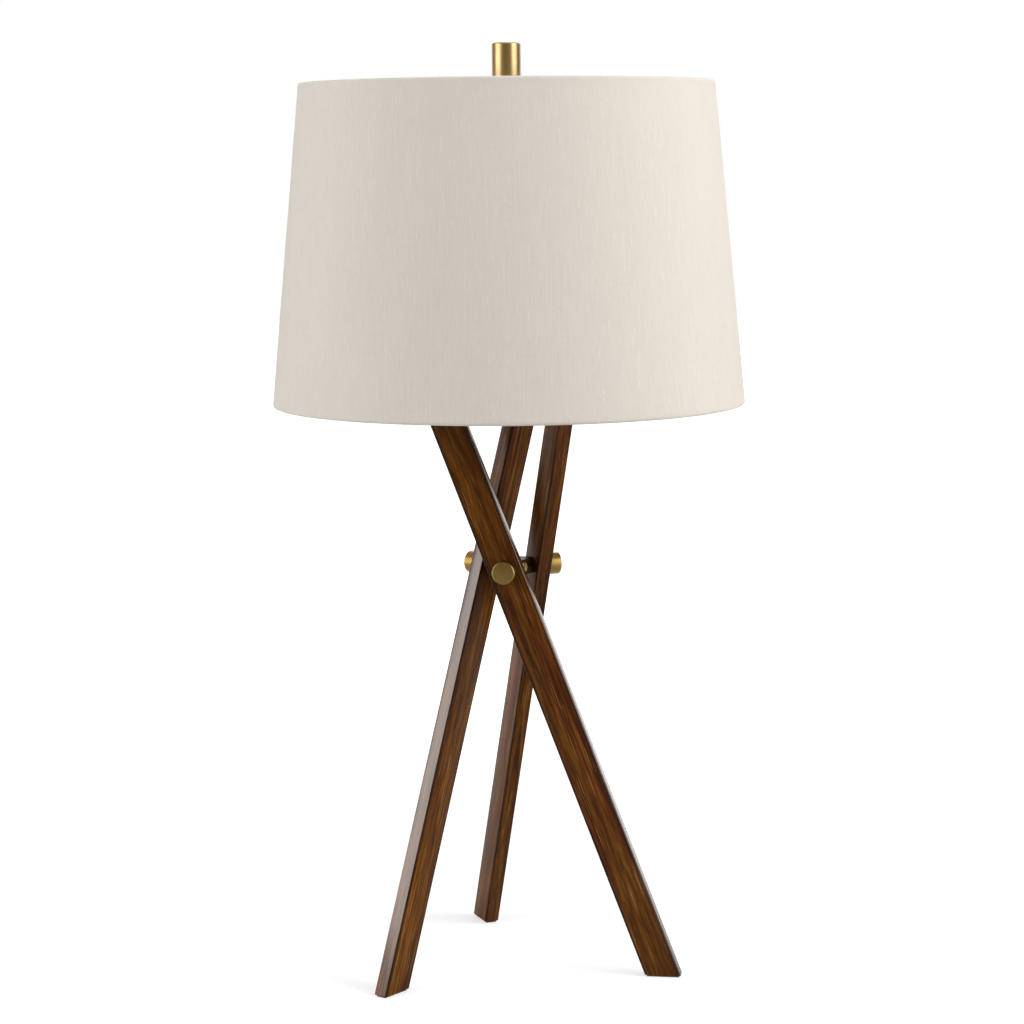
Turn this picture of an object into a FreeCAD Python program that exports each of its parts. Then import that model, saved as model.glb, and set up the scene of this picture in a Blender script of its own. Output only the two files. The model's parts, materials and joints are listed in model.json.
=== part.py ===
import FreeCAD, Part
import os
import re

import Sketcher
from FreeCAD import Placement, Rotation, Vector

# Tripod table lamp. The origin is on the table, under the middle of the shade. +Z is up and the front is -Y.
# Three flat legs lean past each other, and each is bolted flat against one side of a hub where they cross.
# In a leg's own frame X points away from the lamp's axis, and the leg's lower end leans towards +Y.

# Every size that is set by itself, in millimetres and degrees.
SIZES = [
    ("leg_width", 27.5, "across the face that looks outwards"),
    ("leg_thickness", 12.3, "from the inner face to the outer face"),
    ("leg_lean", 20.98, "degrees between a leg and the vertical"),
    ("leg_turn", 8.4, "degrees that the front leg's face is turned to the left of the front"),
    ("leg_inner_radius", 18.2, "lamp axis to the inner face of each leg"),
    ("leg_edge_round", 1.3, "radius of a leg's long edges"),
    ("leg_top", 490, "height of the level cut at the legs' upper ends"),
    ("crossing_height", 333, "height of the hub's middle and of the cross bolts"),
    ("pad_thickness", 1.5, "felt under each foot"),
    ("pad_inset", 1.5, "from a foot's outline to its felt's edge"),
    ("fixing_clearance", 0.1, "radial room round a screw, bolt or tube in its hole"),
    ("running_clearance", 0.08, "radial room round a shaft or thread that turns or slides"),
    ("seat_gap", 0.3, "between a piece that moves and the piece that it rests on"),
    ("hub_height", 12, "thickness of the hub block"),
    ("hub_corner_radius", 14, "lamp axis to the hub's three free faces"),
    ("bolt_diameter", 6, "cross bolts"),
    ("bolt_start_radius", 5, "lamp axis to the inner ends of the cross bolts"),
    ("bolt_grip", 8, "length of a cross bolt inside its cap"),
    ("bolt_end_room", 0.5, "past a cross bolt's outer end"),
    ("cross_cap_diameter", 18.5, "brass caps at the crossing"),
    ("cross_cap_length", 11.5, "how far a brass cap stands out from its leg"),
    ("cross_cap_edge", 0.6, "chamfer of a brass cap"),
    ("lock_screw_diameter", 7.6, "brass screws in the hub's free faces"),
    ("lock_screw_length", 6, "whole length of a locking screw"),
    ("lock_screw_proud", 0.6, "how far a locking screw stands out of the hub"),
    ("slot_width", 1, "screwdriver slots"),
    ("slot_depth", 0.8, "screwdriver slots"),
    ("plate_margin", 22.3, "from the middle of a leg's end to the rim of the round plate that ties them"),
    ("plate_thickness", 3, "top plate"),
    ("plate_edge", 0.6, "chamfer of the top plate's rim"),
    ("wood_screw_diameter", 4, "screws that hold the plate to the legs"),
    ("wood_screw_length", 18, "below the plate's upper face"),
    ("wood_screw_spacing", 12, "between the two screws of one leg"),
    ("wood_screw_head", 7.6, "head diameter"),
    ("wood_screw_head_height", 2.2, "head height"),
    ("nipple_diameter", 9.7, "threaded tube through the top plate"),
    ("nipple_bore", 7.4, "the cord's way up into the lampholder"),
    ("nipple_below", 20, "from the top plate's upper face down to the tube's lower end"),
    ("nipple_above", 12, "from the top plate's upper face up to the tube's upper end"),
    ("nut_flats", 14.3, "across the flats of the tube's nuts"),
    ("nut_height", 3.4, "height of the tube's nuts"),
    ("washer_diameter", 16, "lock washer under the plate"),
    ("washer_thickness", 0.9, "lock washer"),
    ("bushing_wall", 1.3, "plastic end bushing, round the tube"),
    ("bushing_lip", 2.4, "thickness of the bushing's rounded lip, below the tube"),
    ("bushing_height", 9, "whole height of the bushing"),
    ("saddle_thickness", 1.6, "strip that the harp stands on"),
    ("saddle_width", 12, "width of the saddle's strip"),
    ("saddle_half_span", 33, "lamp axis to the middle of each harp foot"),
    ("saddle_arm_height", 15, "from the plate's upper face to the top of an arm"),
    ("harp_wire", 3.6, "diameter of the harp's wire"),
    ("harp_split", 0.3, "between a harp foot's flat and its prong's flat"),
    ("prong_height", 10, "a prong's and a foot flat's length"),
    ("ferrule_wall", 1.3, "sleeve that locks a harp foot to its prong"),
    ("ferrule_height", 14, "length of the sleeve"),
    ("harp_straight", 33, "straight wire above a harp foot's lower end"),
    ("harp_half_width", 58, "lamp axis to the wire at the harp's widest"),
    ("harp_bend", 40, "radius of the two bends between a foot and the side"),
    ("harp_corner", 46, "radius of the harp's upper corners"),
    ("harp_rise", 197.7, "from a harp foot's lower end up to the middle of the top wire"),
    ("stud_base_diameter", 10, "brass block on the harp's top wire"),
    ("stud_base_drop", 3.6, "from the wire's middle to the block's underside"),
    ("seat_diameter", 16, "disc that the shade rests on"),
    ("seat_thickness", 1.6, "disc that the shade rests on"),
    ("seat_rise", 3.8, "from the wire's middle to the seat's upper face"),
    ("stud_diameter", 6.35, "threaded stud for the finial"),
    ("stud_length", 13.2, "above the seat"),
    ("neck_radius", 6.8, "neck of the lampholder's cap"),
    ("neck_height", 8, "neck of the lampholder's cap"),
    ("socket_wall", 0.8, "sheet brass of the cap and shell"),
    ("socket_radius", 17, "outside of the lampholder's cap"),
    ("skirt_height", 6, "straight rim of the cap"),
    ("shell_overlap", 5, "how far the shell reaches down into the cap"),
    ("shell_height", 49, "whole height of the shell"),
    ("shell_bead", 0.9, "rolled bead at the shell's mouth"),
    ("bead_height", 2.4, "rolled bead at the shell's mouth"),
    ("set_screw_diameter", 3, "in the cap's neck"),
    ("set_screw_length", 3.4, "in the cap's neck"),
    ("liner_wall", 0.6, "fibre sleeve inside the shell"),
    ("layer_gap", 0.2, "radial room between the layers of the lampholder"),
    ("liner_setback", 2.5, "from the shell's mouth down to the sleeve's end"),
    ("core_height", 18, "moulded body of the lampholder"),
    ("core_lift", 3, "from the shell's lower end up to the moulded body"),
    ("cavity_half_width", 6, "switch chamber inside the moulded body, across"),
    ("cavity_height", 12, "switch chamber"),
    ("cavity_front", 4, "lamp axis to the chamber's front wall"),
    ("cavity_back", 3, "lamp axis to the chamber's back wall"),
    ("terminal_flat", 11, "lamp axis to the flat under a terminal screw"),
    ("terminal_flat_height", 11, "height of that flat"),
    ("terminal_rise", 5.5, "from the moulded body's underside to the terminal screws"),
    ("terminal_head", 6, "terminal screw head diameter"),
    ("terminal_head_height", 2, "terminal screw head height"),
    ("terminal_shank", 3, "terminal screw shank diameter"),
    ("terminal_grip", 4.5, "shank length in the moulded body"),
    ("screw_shell_wall", 0.4, "threaded sleeve that takes the bulb"),
    ("screw_shell_height", 25, "threaded sleeve"),
    ("contact_hole_radius", 6, "hole in the bottom of the threaded sleeve"),
    ("contact_width", 4, "centre contact spring"),
    ("contact_thickness", 0.5, "centre contact spring"),
    ("contact_rise", 2.9, "from the moulded body to the top of the spring"),
    ("leaf_length", 9, "switch leaf under the cam"),
    ("leaf_width", 4, "switch leaf"),
    ("leaf_thickness", 0.6, "switch leaf"),
    ("cam_side", 6.5, "square switch cam"),
    ("cam_length", 5, "along the spindle"),
    ("spindle_diameter", 4, "switch spindle"),
    ("spindle_reach", 31, "lamp axis to the spindle's outer end"),
    ("spindle_window", 0.6, "radial room round the spindle where it leaves the shell"),
    ("key_collar", 7.6, "diameter of the switch key's collar"),
    ("key_start", 19.5, "lamp axis to the inner end of the key"),
    ("key_collar_length", 6, "switch key"),
    ("key_length", 17, "whole length of the switch key"),
    ("key_width", 14, "width of the key's blade"),
    ("key_thickness", 4, "thickness of the key's blade"),
    ("key_round", 1.5, "rounding of the key's blade"),
    ("tip_radius", 4.8, "foot contact of the bulb"),
    ("tip_height", 1.8, "foot contact of the bulb"),
    ("insulator_height", 4, "black glass between foot contact and base"),
    ("insulator_top_radius", 11.4, "black glass"),
    ("base_radius", 13.1, "screw base of the bulb"),
    ("base_wall", 0.6, "screw base of the bulb"),
    ("base_height", 20, "screw base of the bulb"),
    ("glass_wall", 0.8, "bulb glass"),
    ("glass_in_base", 12, "length of the glass neck inside the base"),
    ("neck_glass_radius", 12.4, "bulb neck"),
    ("globe_radius", 27.5, "bulb's widest part"),
    ("globe_rise", 53, "from the top of the base to the middle of the globe"),
    ("neck_straight", 8, "straight glass above the base"),
    ("shade_height", 257, "from the lower edge to the upper edge"),
    ("shade_bottom_radius", 190.5, "outside of the lower edge"),
    ("shade_top_radius", 165.8, "outside of the upper edge"),
    ("cover_wall", 0.7, "linen"),
    ("glue_gap", 0.05, "between the layers of the shade"),
    ("backing_wall", 0.6, "stiff backing of the linen"),
    ("trim_width", 5.2, "rolled edge, from outside to inside"),
    ("trim_height", 5, "rolled edge"),
    ("trim_wall", 0.7, "rolled edge"),
    ("ring_wire", 2.7, "wire rings inside the rolled edges"),
    ("ring_room", 0.2, "between a ring and the shade's backing"),
    ("fitter_radius", 14, "washer that sits on the harp's seat"),
    ("fitter_thickness", 1.6, "washer that sits on the harp's seat"),
    ("fitter_hole_room", 0.4, "radial room round the harp's stud"),
    ("arm_wire", 2.8, "three arms from the washer to the upper ring"),
    ("arm_rise", 9.7, "how far the arms climb from the washer to the upper ring"),
    ("arm_room", 0.25, "between an arm's ends and what they meet"),
    ("finial_diameter", 23.2, "brass finial"),
    ("finial_length", 42, "brass finial"),
    ("finial_edge", 0.8, "chamfer of the finial"),
    ("insert_wall", 2.6, "tapped insert of the finial"),
    ("insert_length", 12, "tapped insert of the finial"),
]

# Sizes and places that follow from the ones above.
PLACES = [
    ("leg_outer_radius", "leg_inner_radius + leg_thickness"),
    ("leg_middle_radius", "leg_inner_radius + leg_thickness / 2"),
    ("leg_half_level", "leg_width / 2 / cos(leg_lean)"),
    ("foot_shift", "(crossing_height - pad_thickness) * tan(leg_lean)"),
    ("floor_shift", "crossing_height * tan(leg_lean)"),
    ("top_shift", "(crossing_height - leg_top) * tan(leg_lean)"),
    ("plate_radius", "plate_margin - top_shift"),
    ("wood_screw_bite", "wood_screw_length - plate_thickness"),
    ("screw_shift", "(crossing_height - leg_top + wood_screw_bite / 2) * tan(leg_lean)"),
    ("pad_half_level", "leg_half_level - pad_inset"),
    ("hub_point_span", "leg_inner_radius * tan(60)"),
    ("hub_half_height", "hub_height / 2"),
    ("bolt_hole_radius", "bolt_diameter / 2 + fixing_clearance"),
    ("bolt_length", "leg_outer_radius + bolt_grip - bolt_start_radius"),
    ("lock_hole_radius", "lock_screw_diameter / 2 + fixing_clearance"),
    ("lock_depth", "lock_screw_length - lock_screw_proud"),
    ("lock_start_radius", "hub_corner_radius - lock_depth"),
    ("plate_top", "leg_top + plate_thickness"),
    ("nipple_radius", "nipple_diameter / 2"),
    ("nipple_hole_radius", "nipple_radius + fixing_clearance"),
    ("nipple_bottom", "plate_top - nipple_below"),
    ("nipple_top", "plate_top + nipple_above"),
    ("nut_corner", "nut_flats / 2 / cos(30)"),
    ("bushing_radius", "nipple_radius + fixing_clearance + bushing_wall"),
    ("bushing_bottom", "nipple_bottom - bushing_lip"),
    ("saddle_top", "plate_top + saddle_thickness"),
    ("arm_top", "plate_top + saddle_arm_height"),
    ("prong_top", "arm_top + prong_height"),
    ("foot_bottom", "arm_top + seat_gap"),
    ("foot_flat_top", "prong_top + seat_gap"),
    ("wire_radius", "harp_wire / 2"),
    ("arm_outer", "saddle_half_span + saddle_thickness / 2"),
    ("arm_inner", "saddle_half_span - saddle_thickness / 2"),
    ("prong_flat", "saddle_half_span + harp_split / 2"),
    ("foot_flat", "saddle_half_span - harp_split / 2"),
    ("ferrule_bore", "wire_radius + running_clearance"),
    ("ferrule_radius", "ferrule_bore + ferrule_wall"),
    ("harp_top", "foot_bottom + harp_rise"),
    ("bend_start", "foot_bottom + harp_straight"),
    ("bend_turn", "acos(1 - (harp_half_width - saddle_half_span) / (2 * harp_bend))"),
    ("bend_rise", "harp_bend * sin(bend_turn)"),
    ("bend_middle", "bend_start + bend_rise"),
    ("bend_end", "bend_start + 2 * bend_rise"),
    ("bend_half_span", "(harp_half_width + saddle_half_span) / 2"),
    ("corner_start", "harp_top - harp_corner"),
    ("corner_span", "harp_half_width - harp_corner"),
    ("stud_base_bottom", "harp_top - stud_base_drop"),
    ("seat_top", "harp_top + seat_rise"),
    ("seat_bottom", "seat_top - seat_thickness"),
    ("stud_top", "seat_top + stud_length"),
    ("nut_top", "saddle_top + nut_height"),
    ("neck_top", "nut_top + neck_height"),
    ("dome_radius", "socket_radius - neck_radius"),
    ("dome_top", "neck_top + dome_radius"),
    ("skirt_top", "dome_top + skirt_height"),
    ("cap_inner_radius", "socket_radius - socket_wall"),
    ("neck_middle", "nut_top + neck_height / 2"),
    ("shell_radius", "cap_inner_radius - fixing_clearance"),
    ("shell_inner", "shell_radius - socket_wall"),
    ("shell_bottom", "skirt_top - shell_overlap"),
    ("shell_top", "shell_bottom + shell_height"),
    ("liner_radius", "shell_inner - layer_gap"),
    ("liner_inner", "liner_radius - liner_wall"),
    ("core_radius", "liner_inner - layer_gap"),
    ("core_bottom", "shell_bottom + core_lift"),
    ("core_top", "core_bottom + core_height"),
    ("spindle_height", "core_bottom + core_height / 2"),
    ("cavity_bottom", "spindle_height - cavity_height / 2"),
    ("cavity_top", "spindle_height + cavity_height / 2"),
    ("terminal_height", "core_bottom + terminal_rise"),
    ("terminal_flat_top", "core_bottom + terminal_flat_height"),
    ("screw_shell_inner", "base_radius + running_clearance"),
    ("screw_shell_radius", "screw_shell_inner + screw_shell_wall"),
    ("screw_shell_top", "core_top + screw_shell_height"),
    ("contact_top", "core_top + contact_rise"),
    ("spindle_radius", "spindle_diameter / 2"),
    ("spindle_hole", "spindle_radius + running_clearance"),
    ("cam_half", "cam_side / 2"),
    ("tip_bottom", "contact_top + seat_gap"),
    ("tip_top", "tip_bottom + tip_height"),
    ("insulator_bottom", "tip_top + seat_gap"),
    ("base_bottom", "insulator_bottom + insulator_height"),
    ("base_top", "base_bottom + base_height"),
    ("globe_height", "base_top + globe_rise"),
    ("glass_bottom", "base_top - glass_in_base"),
    ("swell_start", "base_top + neck_straight"),
    ("swell_rise", "globe_height - swell_start"),
    ("swell_gain", "globe_radius * globe_radius - neck_glass_radius * neck_glass_radius"),
    ("swell_radius", "(swell_rise * swell_rise - swell_gain) / 2 / (globe_radius - neck_glass_radius)"),
    ("swell_share", "globe_radius / (globe_radius + swell_radius)"),
    ("swell_end_radius", "(neck_glass_radius + swell_radius) * swell_share"),
    ("swell_end_height", "globe_height - swell_rise * swell_share"),
    ("hollow_radius", "globe_radius - glass_wall"),
    ("hollow_share", "hollow_radius / (globe_radius + swell_radius)"),
    ("hollow_end_radius", "(neck_glass_radius + swell_radius) * hollow_share"),
    ("hollow_end_height", "globe_height - swell_rise * hollow_share"),
    ("hollow_neck_radius", "neck_glass_radius - glass_wall"),
    ("globe_top", "globe_height + globe_radius"),
    ("hollow_top", "globe_height + hollow_radius"),
    ("fitter_bottom", "seat_top + seat_gap"),
    ("fitter_top", "fitter_bottom + fitter_thickness"),
    ("fitter_middle", "fitter_bottom + fitter_thickness / 2"),
    ("fitter_hole", "stud_diameter / 2 + fitter_hole_room"),
    ("diagonal", "cos(45)"),
    ("roll_outer", "trim_width / 2"),
    ("roll_inner", "trim_width / 2 - trim_wall"),
    ("trim_top_height", "fitter_middle + arm_rise"),
    ("shade_top", "trim_top_height + roll_outer"),
    ("shade_bottom", "shade_top - shade_height"),
    ("shade_slope", "(shade_bottom_radius - shade_top_radius) / shade_height"),
    ("trim_bottom_height", "shade_bottom + roll_outer"),
    ("cover_top", "shade_top - trim_height"),
    ("cover_bottom", "shade_bottom + trim_height"),
    ("cover_top_radius", "shade_top_radius + shade_slope * trim_height"),
    ("cover_bottom_radius", "shade_bottom_radius - shade_slope * trim_height"),
    ("trim_top_radius", "shade_top_radius + shade_slope * roll_outer"),
    ("trim_bottom_radius", "shade_bottom_radius - shade_slope * roll_outer"),
    ("ring_radius", "ring_wire / 2"),
    ("backing_setback", "cover_wall + glue_gap"),
    ("ring_setback", "backing_setback + backing_wall + ring_room + ring_radius"),
    ("top_ring_radius", "trim_top_radius - ring_setback"),
    ("bottom_ring_radius", "trim_bottom_radius - ring_setback"),
    ("arm_start", "fitter_radius + arm_room"),
    ("arm_end", "top_ring_radius - ring_radius - arm_room"),
    ("finial_bottom", "fitter_top + seat_gap"),
    ("finial_top", "finial_bottom + finial_length"),
    ("insert_bore", "stud_diameter / 2 + running_clearance"),
    ("insert_radius", "insert_bore + insert_wall"),
    ("insert_top", "finial_bottom + insert_length"),
    ("finial_bore", "insert_radius + running_clearance"),
    ("finial_bore_top", "insert_top + seat_gap"),
]

DRIVING = {row[0] for row in SIZES}
FUNCTIONS = ("cos", "sin", "tan", "acos", "atan")

doc = FreeCAD.newDocument("TripodTableLamp")
parts = []


def in_sheets(text):
    """The expression with each size named in the sheet that holds it."""

    def full_name(match):
        word = match.group(0)
        if word in FUNCTIONS:
            return word
        return ("Sizes." if word in DRIVING else "Places.") + word

    return re.sub(r"[a-z_]+", full_name, text)


def fill_sheet(name, rows):
    sheet = doc.addObject("Spreadsheet::Sheet", name)
    for number, row in enumerate(rows, start=1):
        alias, content = row[0], row[1]
        sheet.set(f"A{number}", alias)
        sheet.set(f"B{number}", content if isinstance(content, str) else f"{content:g}")
        sheet.setAlias(f"B{number}", alias)
        if len(row) > 2:
            sheet.set(f"C{number}", row[2])
    return sheet


sizes = fill_sheet("Sizes", SIZES)
doc.recompute()
places = fill_sheet("Places", [(alias, "=" + in_sheets(formula)) for alias, formula in PLACES])
doc.recompute()


def value(alias):
    """A size's number now."""
    return float(getattr(sizes if alias in DRIVING else places, alias))


def amount(text):
    """The number now of a sum of sizes, such as plate_top - wall / 2. It places a sketch's first guess."""
    total = 0.0
    for term in re.findall(r"[+-]?[^+-]+", text.replace(" ", "")):
        product = -1.0 if term[0] == "-" else 1.0
        for sign, word in re.findall(r"([*/]?)([a-z_]+|[0-9.]+)", term.lstrip("+-")):
            factor = float(word) if word[0].isdigit() else value(word)
            product = product / factor if sign == "/" else product * factor
        total += product
    return total


def bind(obj, **formulas):
    """Ties properties to sizes. A double underscore stands for a dot."""
    for prop, formula in formulas.items():
        obj.setExpression(prop.replace("__", "."), in_sheets(formula))
    return obj


def keep(obj, label):
    """Names a finished sub-part."""
    obj.Label = label
    parts.append(obj)
    return obj


def body(label, turn=None, lift=None, across=None):
    """A body for one sub-part, turned about the lamp's axis, lifted, or moved along X."""
    made = doc.addObject("PartDesign::Body", label)
    made.AllowCompound = True
    if turn is not None:
        made.Placement = Placement(Vector(), Rotation(Vector(0, 0, 1), 1))
        bind(made, Placement__Rotation__Angle=turn)
    if lift is not None:
        bind(made, Placement__Base__z=lift)
    if across is not None:
        bind(made, Placement__Base__x=across)
    return keep(made, label)


def own(made, role):
    """One of a body's own planes or axes."""
    return next(item for item in made.Origin.OriginFeatures if item.Role == role)


def sketch(made, plane, offset=None):
    drawn = made.newObject("Sketcher::SketchObject", made.Name + "_sketch")
    drawn.AttachmentSupport = [(own(made, plane), "")]
    drawn.MapMode = "FlatFace"
    if offset is not None:
        bind(drawn, AttachmentOffset__Base__z=offset)
    return drawn


def fix(drawn, kind, curve, point, formula):
    """Ties one coordinate of a sketch point to sizes."""
    rule = Sketcher.Constraint(kind, -1, 1, curve, point, amount(formula))
    number = drawn.addConstraint(rule)
    drawn.setExpression(f"Constraints[{number}]", in_sheets(formula))


def outline(drawn, corners, closed=True):
    """Straight runs and arcs through the corners. A corner is (x, y), or (x, y, centre x, centre y, axis) where
    the run that leaves it is an arc of less than half a turn. Axis says which coordinate fixes its centre."""
    points = [Vector(amount(corner[0]), amount(corner[1]), 0) for corner in corners]
    count = len(corners) if closed else len(corners) - 1
    ends = []
    for i in range(count):
        start, end = points[i], points[(i + 1) % len(points)]
        if len(corners[i]) == 2:
            drawn.addGeometry(Part.LineSegment(start, end), False)
            ends.append((1, 2))
            continue
        centre = Vector(amount(corners[i][2]), amount(corners[i][3]), 0)
        anticlockwise = (start - centre).cross(end - centre).z > 0
        first, last = (start, end) if anticlockwise else (end, start)
        middle = centre + ((start + end) / 2 - centre).normalize() * (start - centre).Length
        drawn.addGeometry(Part.Arc(first, middle, last), False)
        ends.append((1, 2) if anticlockwise else (2, 1))
    for i in range(count if closed else count - 1):
        following = (i + 1) % count
        drawn.addConstraint(Sketcher.Constraint("Coincident", i, ends[i][1], following, ends[following][0]))
    for i in range(count):
        fix(drawn, "DistanceX", i, ends[i][0], corners[i][0])
        fix(drawn, "DistanceY", i, ends[i][0], corners[i][1])
        if len(corners[i]) > 2:
            across = corners[i][4] == "x"
            fix(drawn, "DistanceX" if across else "DistanceY", i, 3, corners[i][2 if across else 3])
    if not closed:
        fix(drawn, "DistanceX", count - 1, ends[-1][1], corners[-1][0])
        fix(drawn, "DistanceY", count - 1, ends[-1][1], corners[-1][1])
    return drawn


def rectangle(drawn, low_x, high_x, low_y, high_y):
    first = len(drawn.Geometry)
    corners = [(low_x, low_y), (high_x, low_y), (high_x, high_y), (low_x, high_y)]
    points = [Vector(amount(x), amount(y), 0) for x, y in corners]
    for i in range(4):
        drawn.addGeometry(Part.LineSegment(points[i], points[(i + 1) % 4]), False)
    for i in range(4):
        drawn.addConstraint(Sketcher.Constraint("Coincident", first + i, 2, first + (i + 1) % 4, 1))
        fix(drawn, "DistanceX", first + i, 1, corners[i][0])
        fix(drawn, "DistanceY", first + i, 1, corners[i][1])
    return drawn


def circle(drawn, x, y, radius):
    centre = Vector(amount(x), amount(y), 0)
    curve = drawn.addGeometry(Part.Circle(centre, Vector(0, 0, 1), amount(radius)), False)
    fix(drawn, "DistanceX", curve, 3, x)
    fix(drawn, "DistanceY", curve, 3, y)
    number = drawn.addConstraint(Sketcher.Constraint("Radius", curve, amount(radius)))
    drawn.setExpression(f"Constraints[{number}]", in_sheets(radius))
    return drawn


def feature(made, kind, drawn, length=None, both_ways=False, backwards=False):
    """A pad or pocket of a sketch. With no length a pocket goes right through."""
    step = made.newObject("PartDesign::" + kind, made.Name + "_" + kind.lower())
    step.Profile = drawn
    if length is None:
        step.Type = "ThroughAll"
    else:
        bind(step, Length=length)
    if both_ways:
        step.SideType = "Symmetric"
    step.Reversed = backwards
    doc.recompute()
    return step


def turned(label, corners, plane="XZ_Plane", axis="V_Axis", **where):
    """A sub-part turned on a lathe: the outline is half of its section."""
    made = body(label, **where)
    drawn = outline(sketch(made, plane), corners)
    step = made.newObject("PartDesign::Revolution", made.Name + "_revolution")
    step.Profile = drawn
    step.ReferenceAxis = (drawn, [axis])
    doc.recompute()
    return made


def three_round(made, *steps):
    """Repeats steps at three places round the lamp's axis."""
    pattern = made.newObject("PartDesign::PolarPattern", made.Name + "_pattern")
    pattern.Originals = list(steps)
    pattern.Axis = (own(made, "Z_Axis"), [""])
    pattern.Angle = 360
    pattern.Occurrences = 3
    made.Tip = pattern
    doc.recompute()
    return pattern


def tube(outer, inner, bottom, top):
    """Half of a tube's section."""
    return [(inner, bottom), (outer, bottom), (outer, top), (inner, top)]


LEG_TURNS = {
    "front": "-90 - leg_turn",
    "left": "-210 - leg_turn",
    "right": "30 - leg_turn",
}


def leg(side):
    """A flat leg, cut level at both ends, with its bolt hole and two pilot holes in its upper end."""
    made = body("leg_" + side, turn=LEG_TURNS[side])
    face = sketch(made, "YZ_Plane", offset="leg_inner_radius")
    outline(face, [
        ("foot_shift - leg_half_level", "pad_thickness"),
        ("foot_shift + leg_half_level", "pad_thickness"),
        ("top_shift + leg_half_level", "leg_top"),
        ("top_shift - leg_half_level", "leg_top"),
    ])
    stock = feature(made, "Pad", face, length="leg_thickness")
    long_edges = [
        f"Edge{number}"
        for number, edge in enumerate(stock.Shape.Edges, start=1)
        if edge.Length > value("leg_top") - value("crossing_height")
    ]
    rounding = made.newObject("PartDesign::Fillet", made.Name + "_edges")
    rounding.Base = (stock, long_edges)
    bind(rounding, Radius="leg_edge_round")
    doc.recompute()
    bolt_hole = circle(sketch(made, "YZ_Plane"), "0", "crossing_height", "bolt_hole_radius")
    feature(made, "Pocket", bolt_hole, both_ways=True)
    pilots = sketch(made, "XY_Plane", offset="leg_top")
    for way in "+-":
        place = f"screw_shift {way} wood_screw_spacing / 2"
        circle(pilots, "leg_middle_radius", place, "wood_screw_diameter / 2 + fixing_clearance")
    feature(made, "Pocket", pilots, length="wood_screw_bite + fixing_clearance")


def foot_pad(side):
    """Felt under a foot, a little inside the foot's outline."""
    made = body("foot_pad_" + side, turn=LEG_TURNS[side])
    foot = sketch(made, "XY_Plane")
    rectangle(
        foot,
        "leg_inner_radius + pad_inset",
        "leg_outer_radius - pad_inset",
        "foot_shift - pad_half_level",
        "foot_shift + pad_half_level",
    )
    feature(made, "Pad", foot, length="pad_thickness")


def crossing_hub():
    """A three-sided block with its points cut off: a leg lies on each long side."""
    made = body("crossing_hub", turn=LEG_TURNS["front"], lift="crossing_height - hub_half_height")
    triangle = outline(sketch(made, "XY_Plane"), [
        ("leg_inner_radius", "-hub_point_span"),
        ("leg_inner_radius", "hub_point_span"),
        ("-2 * leg_inner_radius", "0"),
    ])
    feature(made, "Pad", triangle, length="hub_height")
    point = sketch(made, "XY_Plane")
    rectangle(point, "-2 * leg_inner_radius - 1", "-hub_corner_radius", "-hub_point_span", "hub_point_span")
    three_round(made, feature(made, "Pocket", point, both_ways=True))
    bolt_hole = sketch(made, "YZ_Plane", offset="bolt_start_radius")
    circle(bolt_hole, "0", "hub_half_height", "bolt_hole_radius")
    three_round(made, feature(made, "Pocket", bolt_hole, backwards=True))
    lock_hole = sketch(made, "YZ_Plane", offset="-lock_start_radius")
    circle(lock_hole, "0", "hub_half_height", "lock_hole_radius")
    three_round(made, feature(made, "Pocket", lock_hole))


def cross_bolts():
    made = body("cross_bolts", turn=LEG_TURNS["front"], lift="crossing_height")
    end = circle(sketch(made, "YZ_Plane", offset="bolt_start_radius"), "0", "0", "bolt_diameter / 2")
    three_round(made, feature(made, "Pad", end, length="bolt_length"))


def cross_cap(side):
    """A turned brass cap with a blind bore for its bolt."""
    bore_end = "leg_outer_radius + bolt_grip + bolt_end_room"
    end = "leg_outer_radius + cross_cap_length"
    radius = "cross_cap_diameter / 2"
    turned("cross_cap_" + side, [
        ("leg_outer_radius", "bolt_hole_radius"),
        ("leg_outer_radius", radius),
        (end + " - cross_cap_edge", radius),
        (end, radius + " - cross_cap_edge"),
        (end, "0"),
        (bore_end, "0"),
        (bore_end, "bolt_hole_radius"),
    ], axis="H_Axis", turn=LEG_TURNS[side], lift="crossing_height")


def hub_lock_screws():
    """Slotted brass screws in the hub's free faces, between the legs."""
    made = body("hub_lock_screws", turn="-30 - leg_turn", lift="crossing_height")
    end = circle(sketch(made, "YZ_Plane", offset="lock_start_radius"), "0", "0", "lock_screw_diameter / 2")
    shank = feature(made, "Pad", end, length="lock_screw_length")
    slot = sketch(made, "YZ_Plane", offset="lock_start_radius + lock_screw_length")
    rectangle(slot, "-slot_width / 2", "slot_width / 2", "-lock_screw_diameter", "lock_screw_diameter")
    three_round(made, shank, feature(made, "Pocket", slot, length="slot_depth"))


def top_plate():
    """The round plate on the legs' upper ends."""
    radius = "plate_radius"
    made = turned("top_plate", [
        ("nipple_hole_radius", "leg_top"),
        (radius + " - plate_edge", "leg_top"),
        (radius, "leg_top + plate_edge"),
        (radius, "plate_top - plate_edge"),
        (radius + " - plate_edge", "plate_top"),
        ("nipple_hole_radius", "plate_top"),
    ], turn=LEG_TURNS["front"])
    holes = sketch(made, "XY_Plane", offset="plate_top")
    for way in "+-":
        place = f"screw_shift {way} wood_screw_spacing / 2"
        circle(holes, "leg_middle_radius", place, "wood_screw_diameter / 2 + fixing_clearance")
    three_round(made, feature(made, "Pocket", holes))


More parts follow.
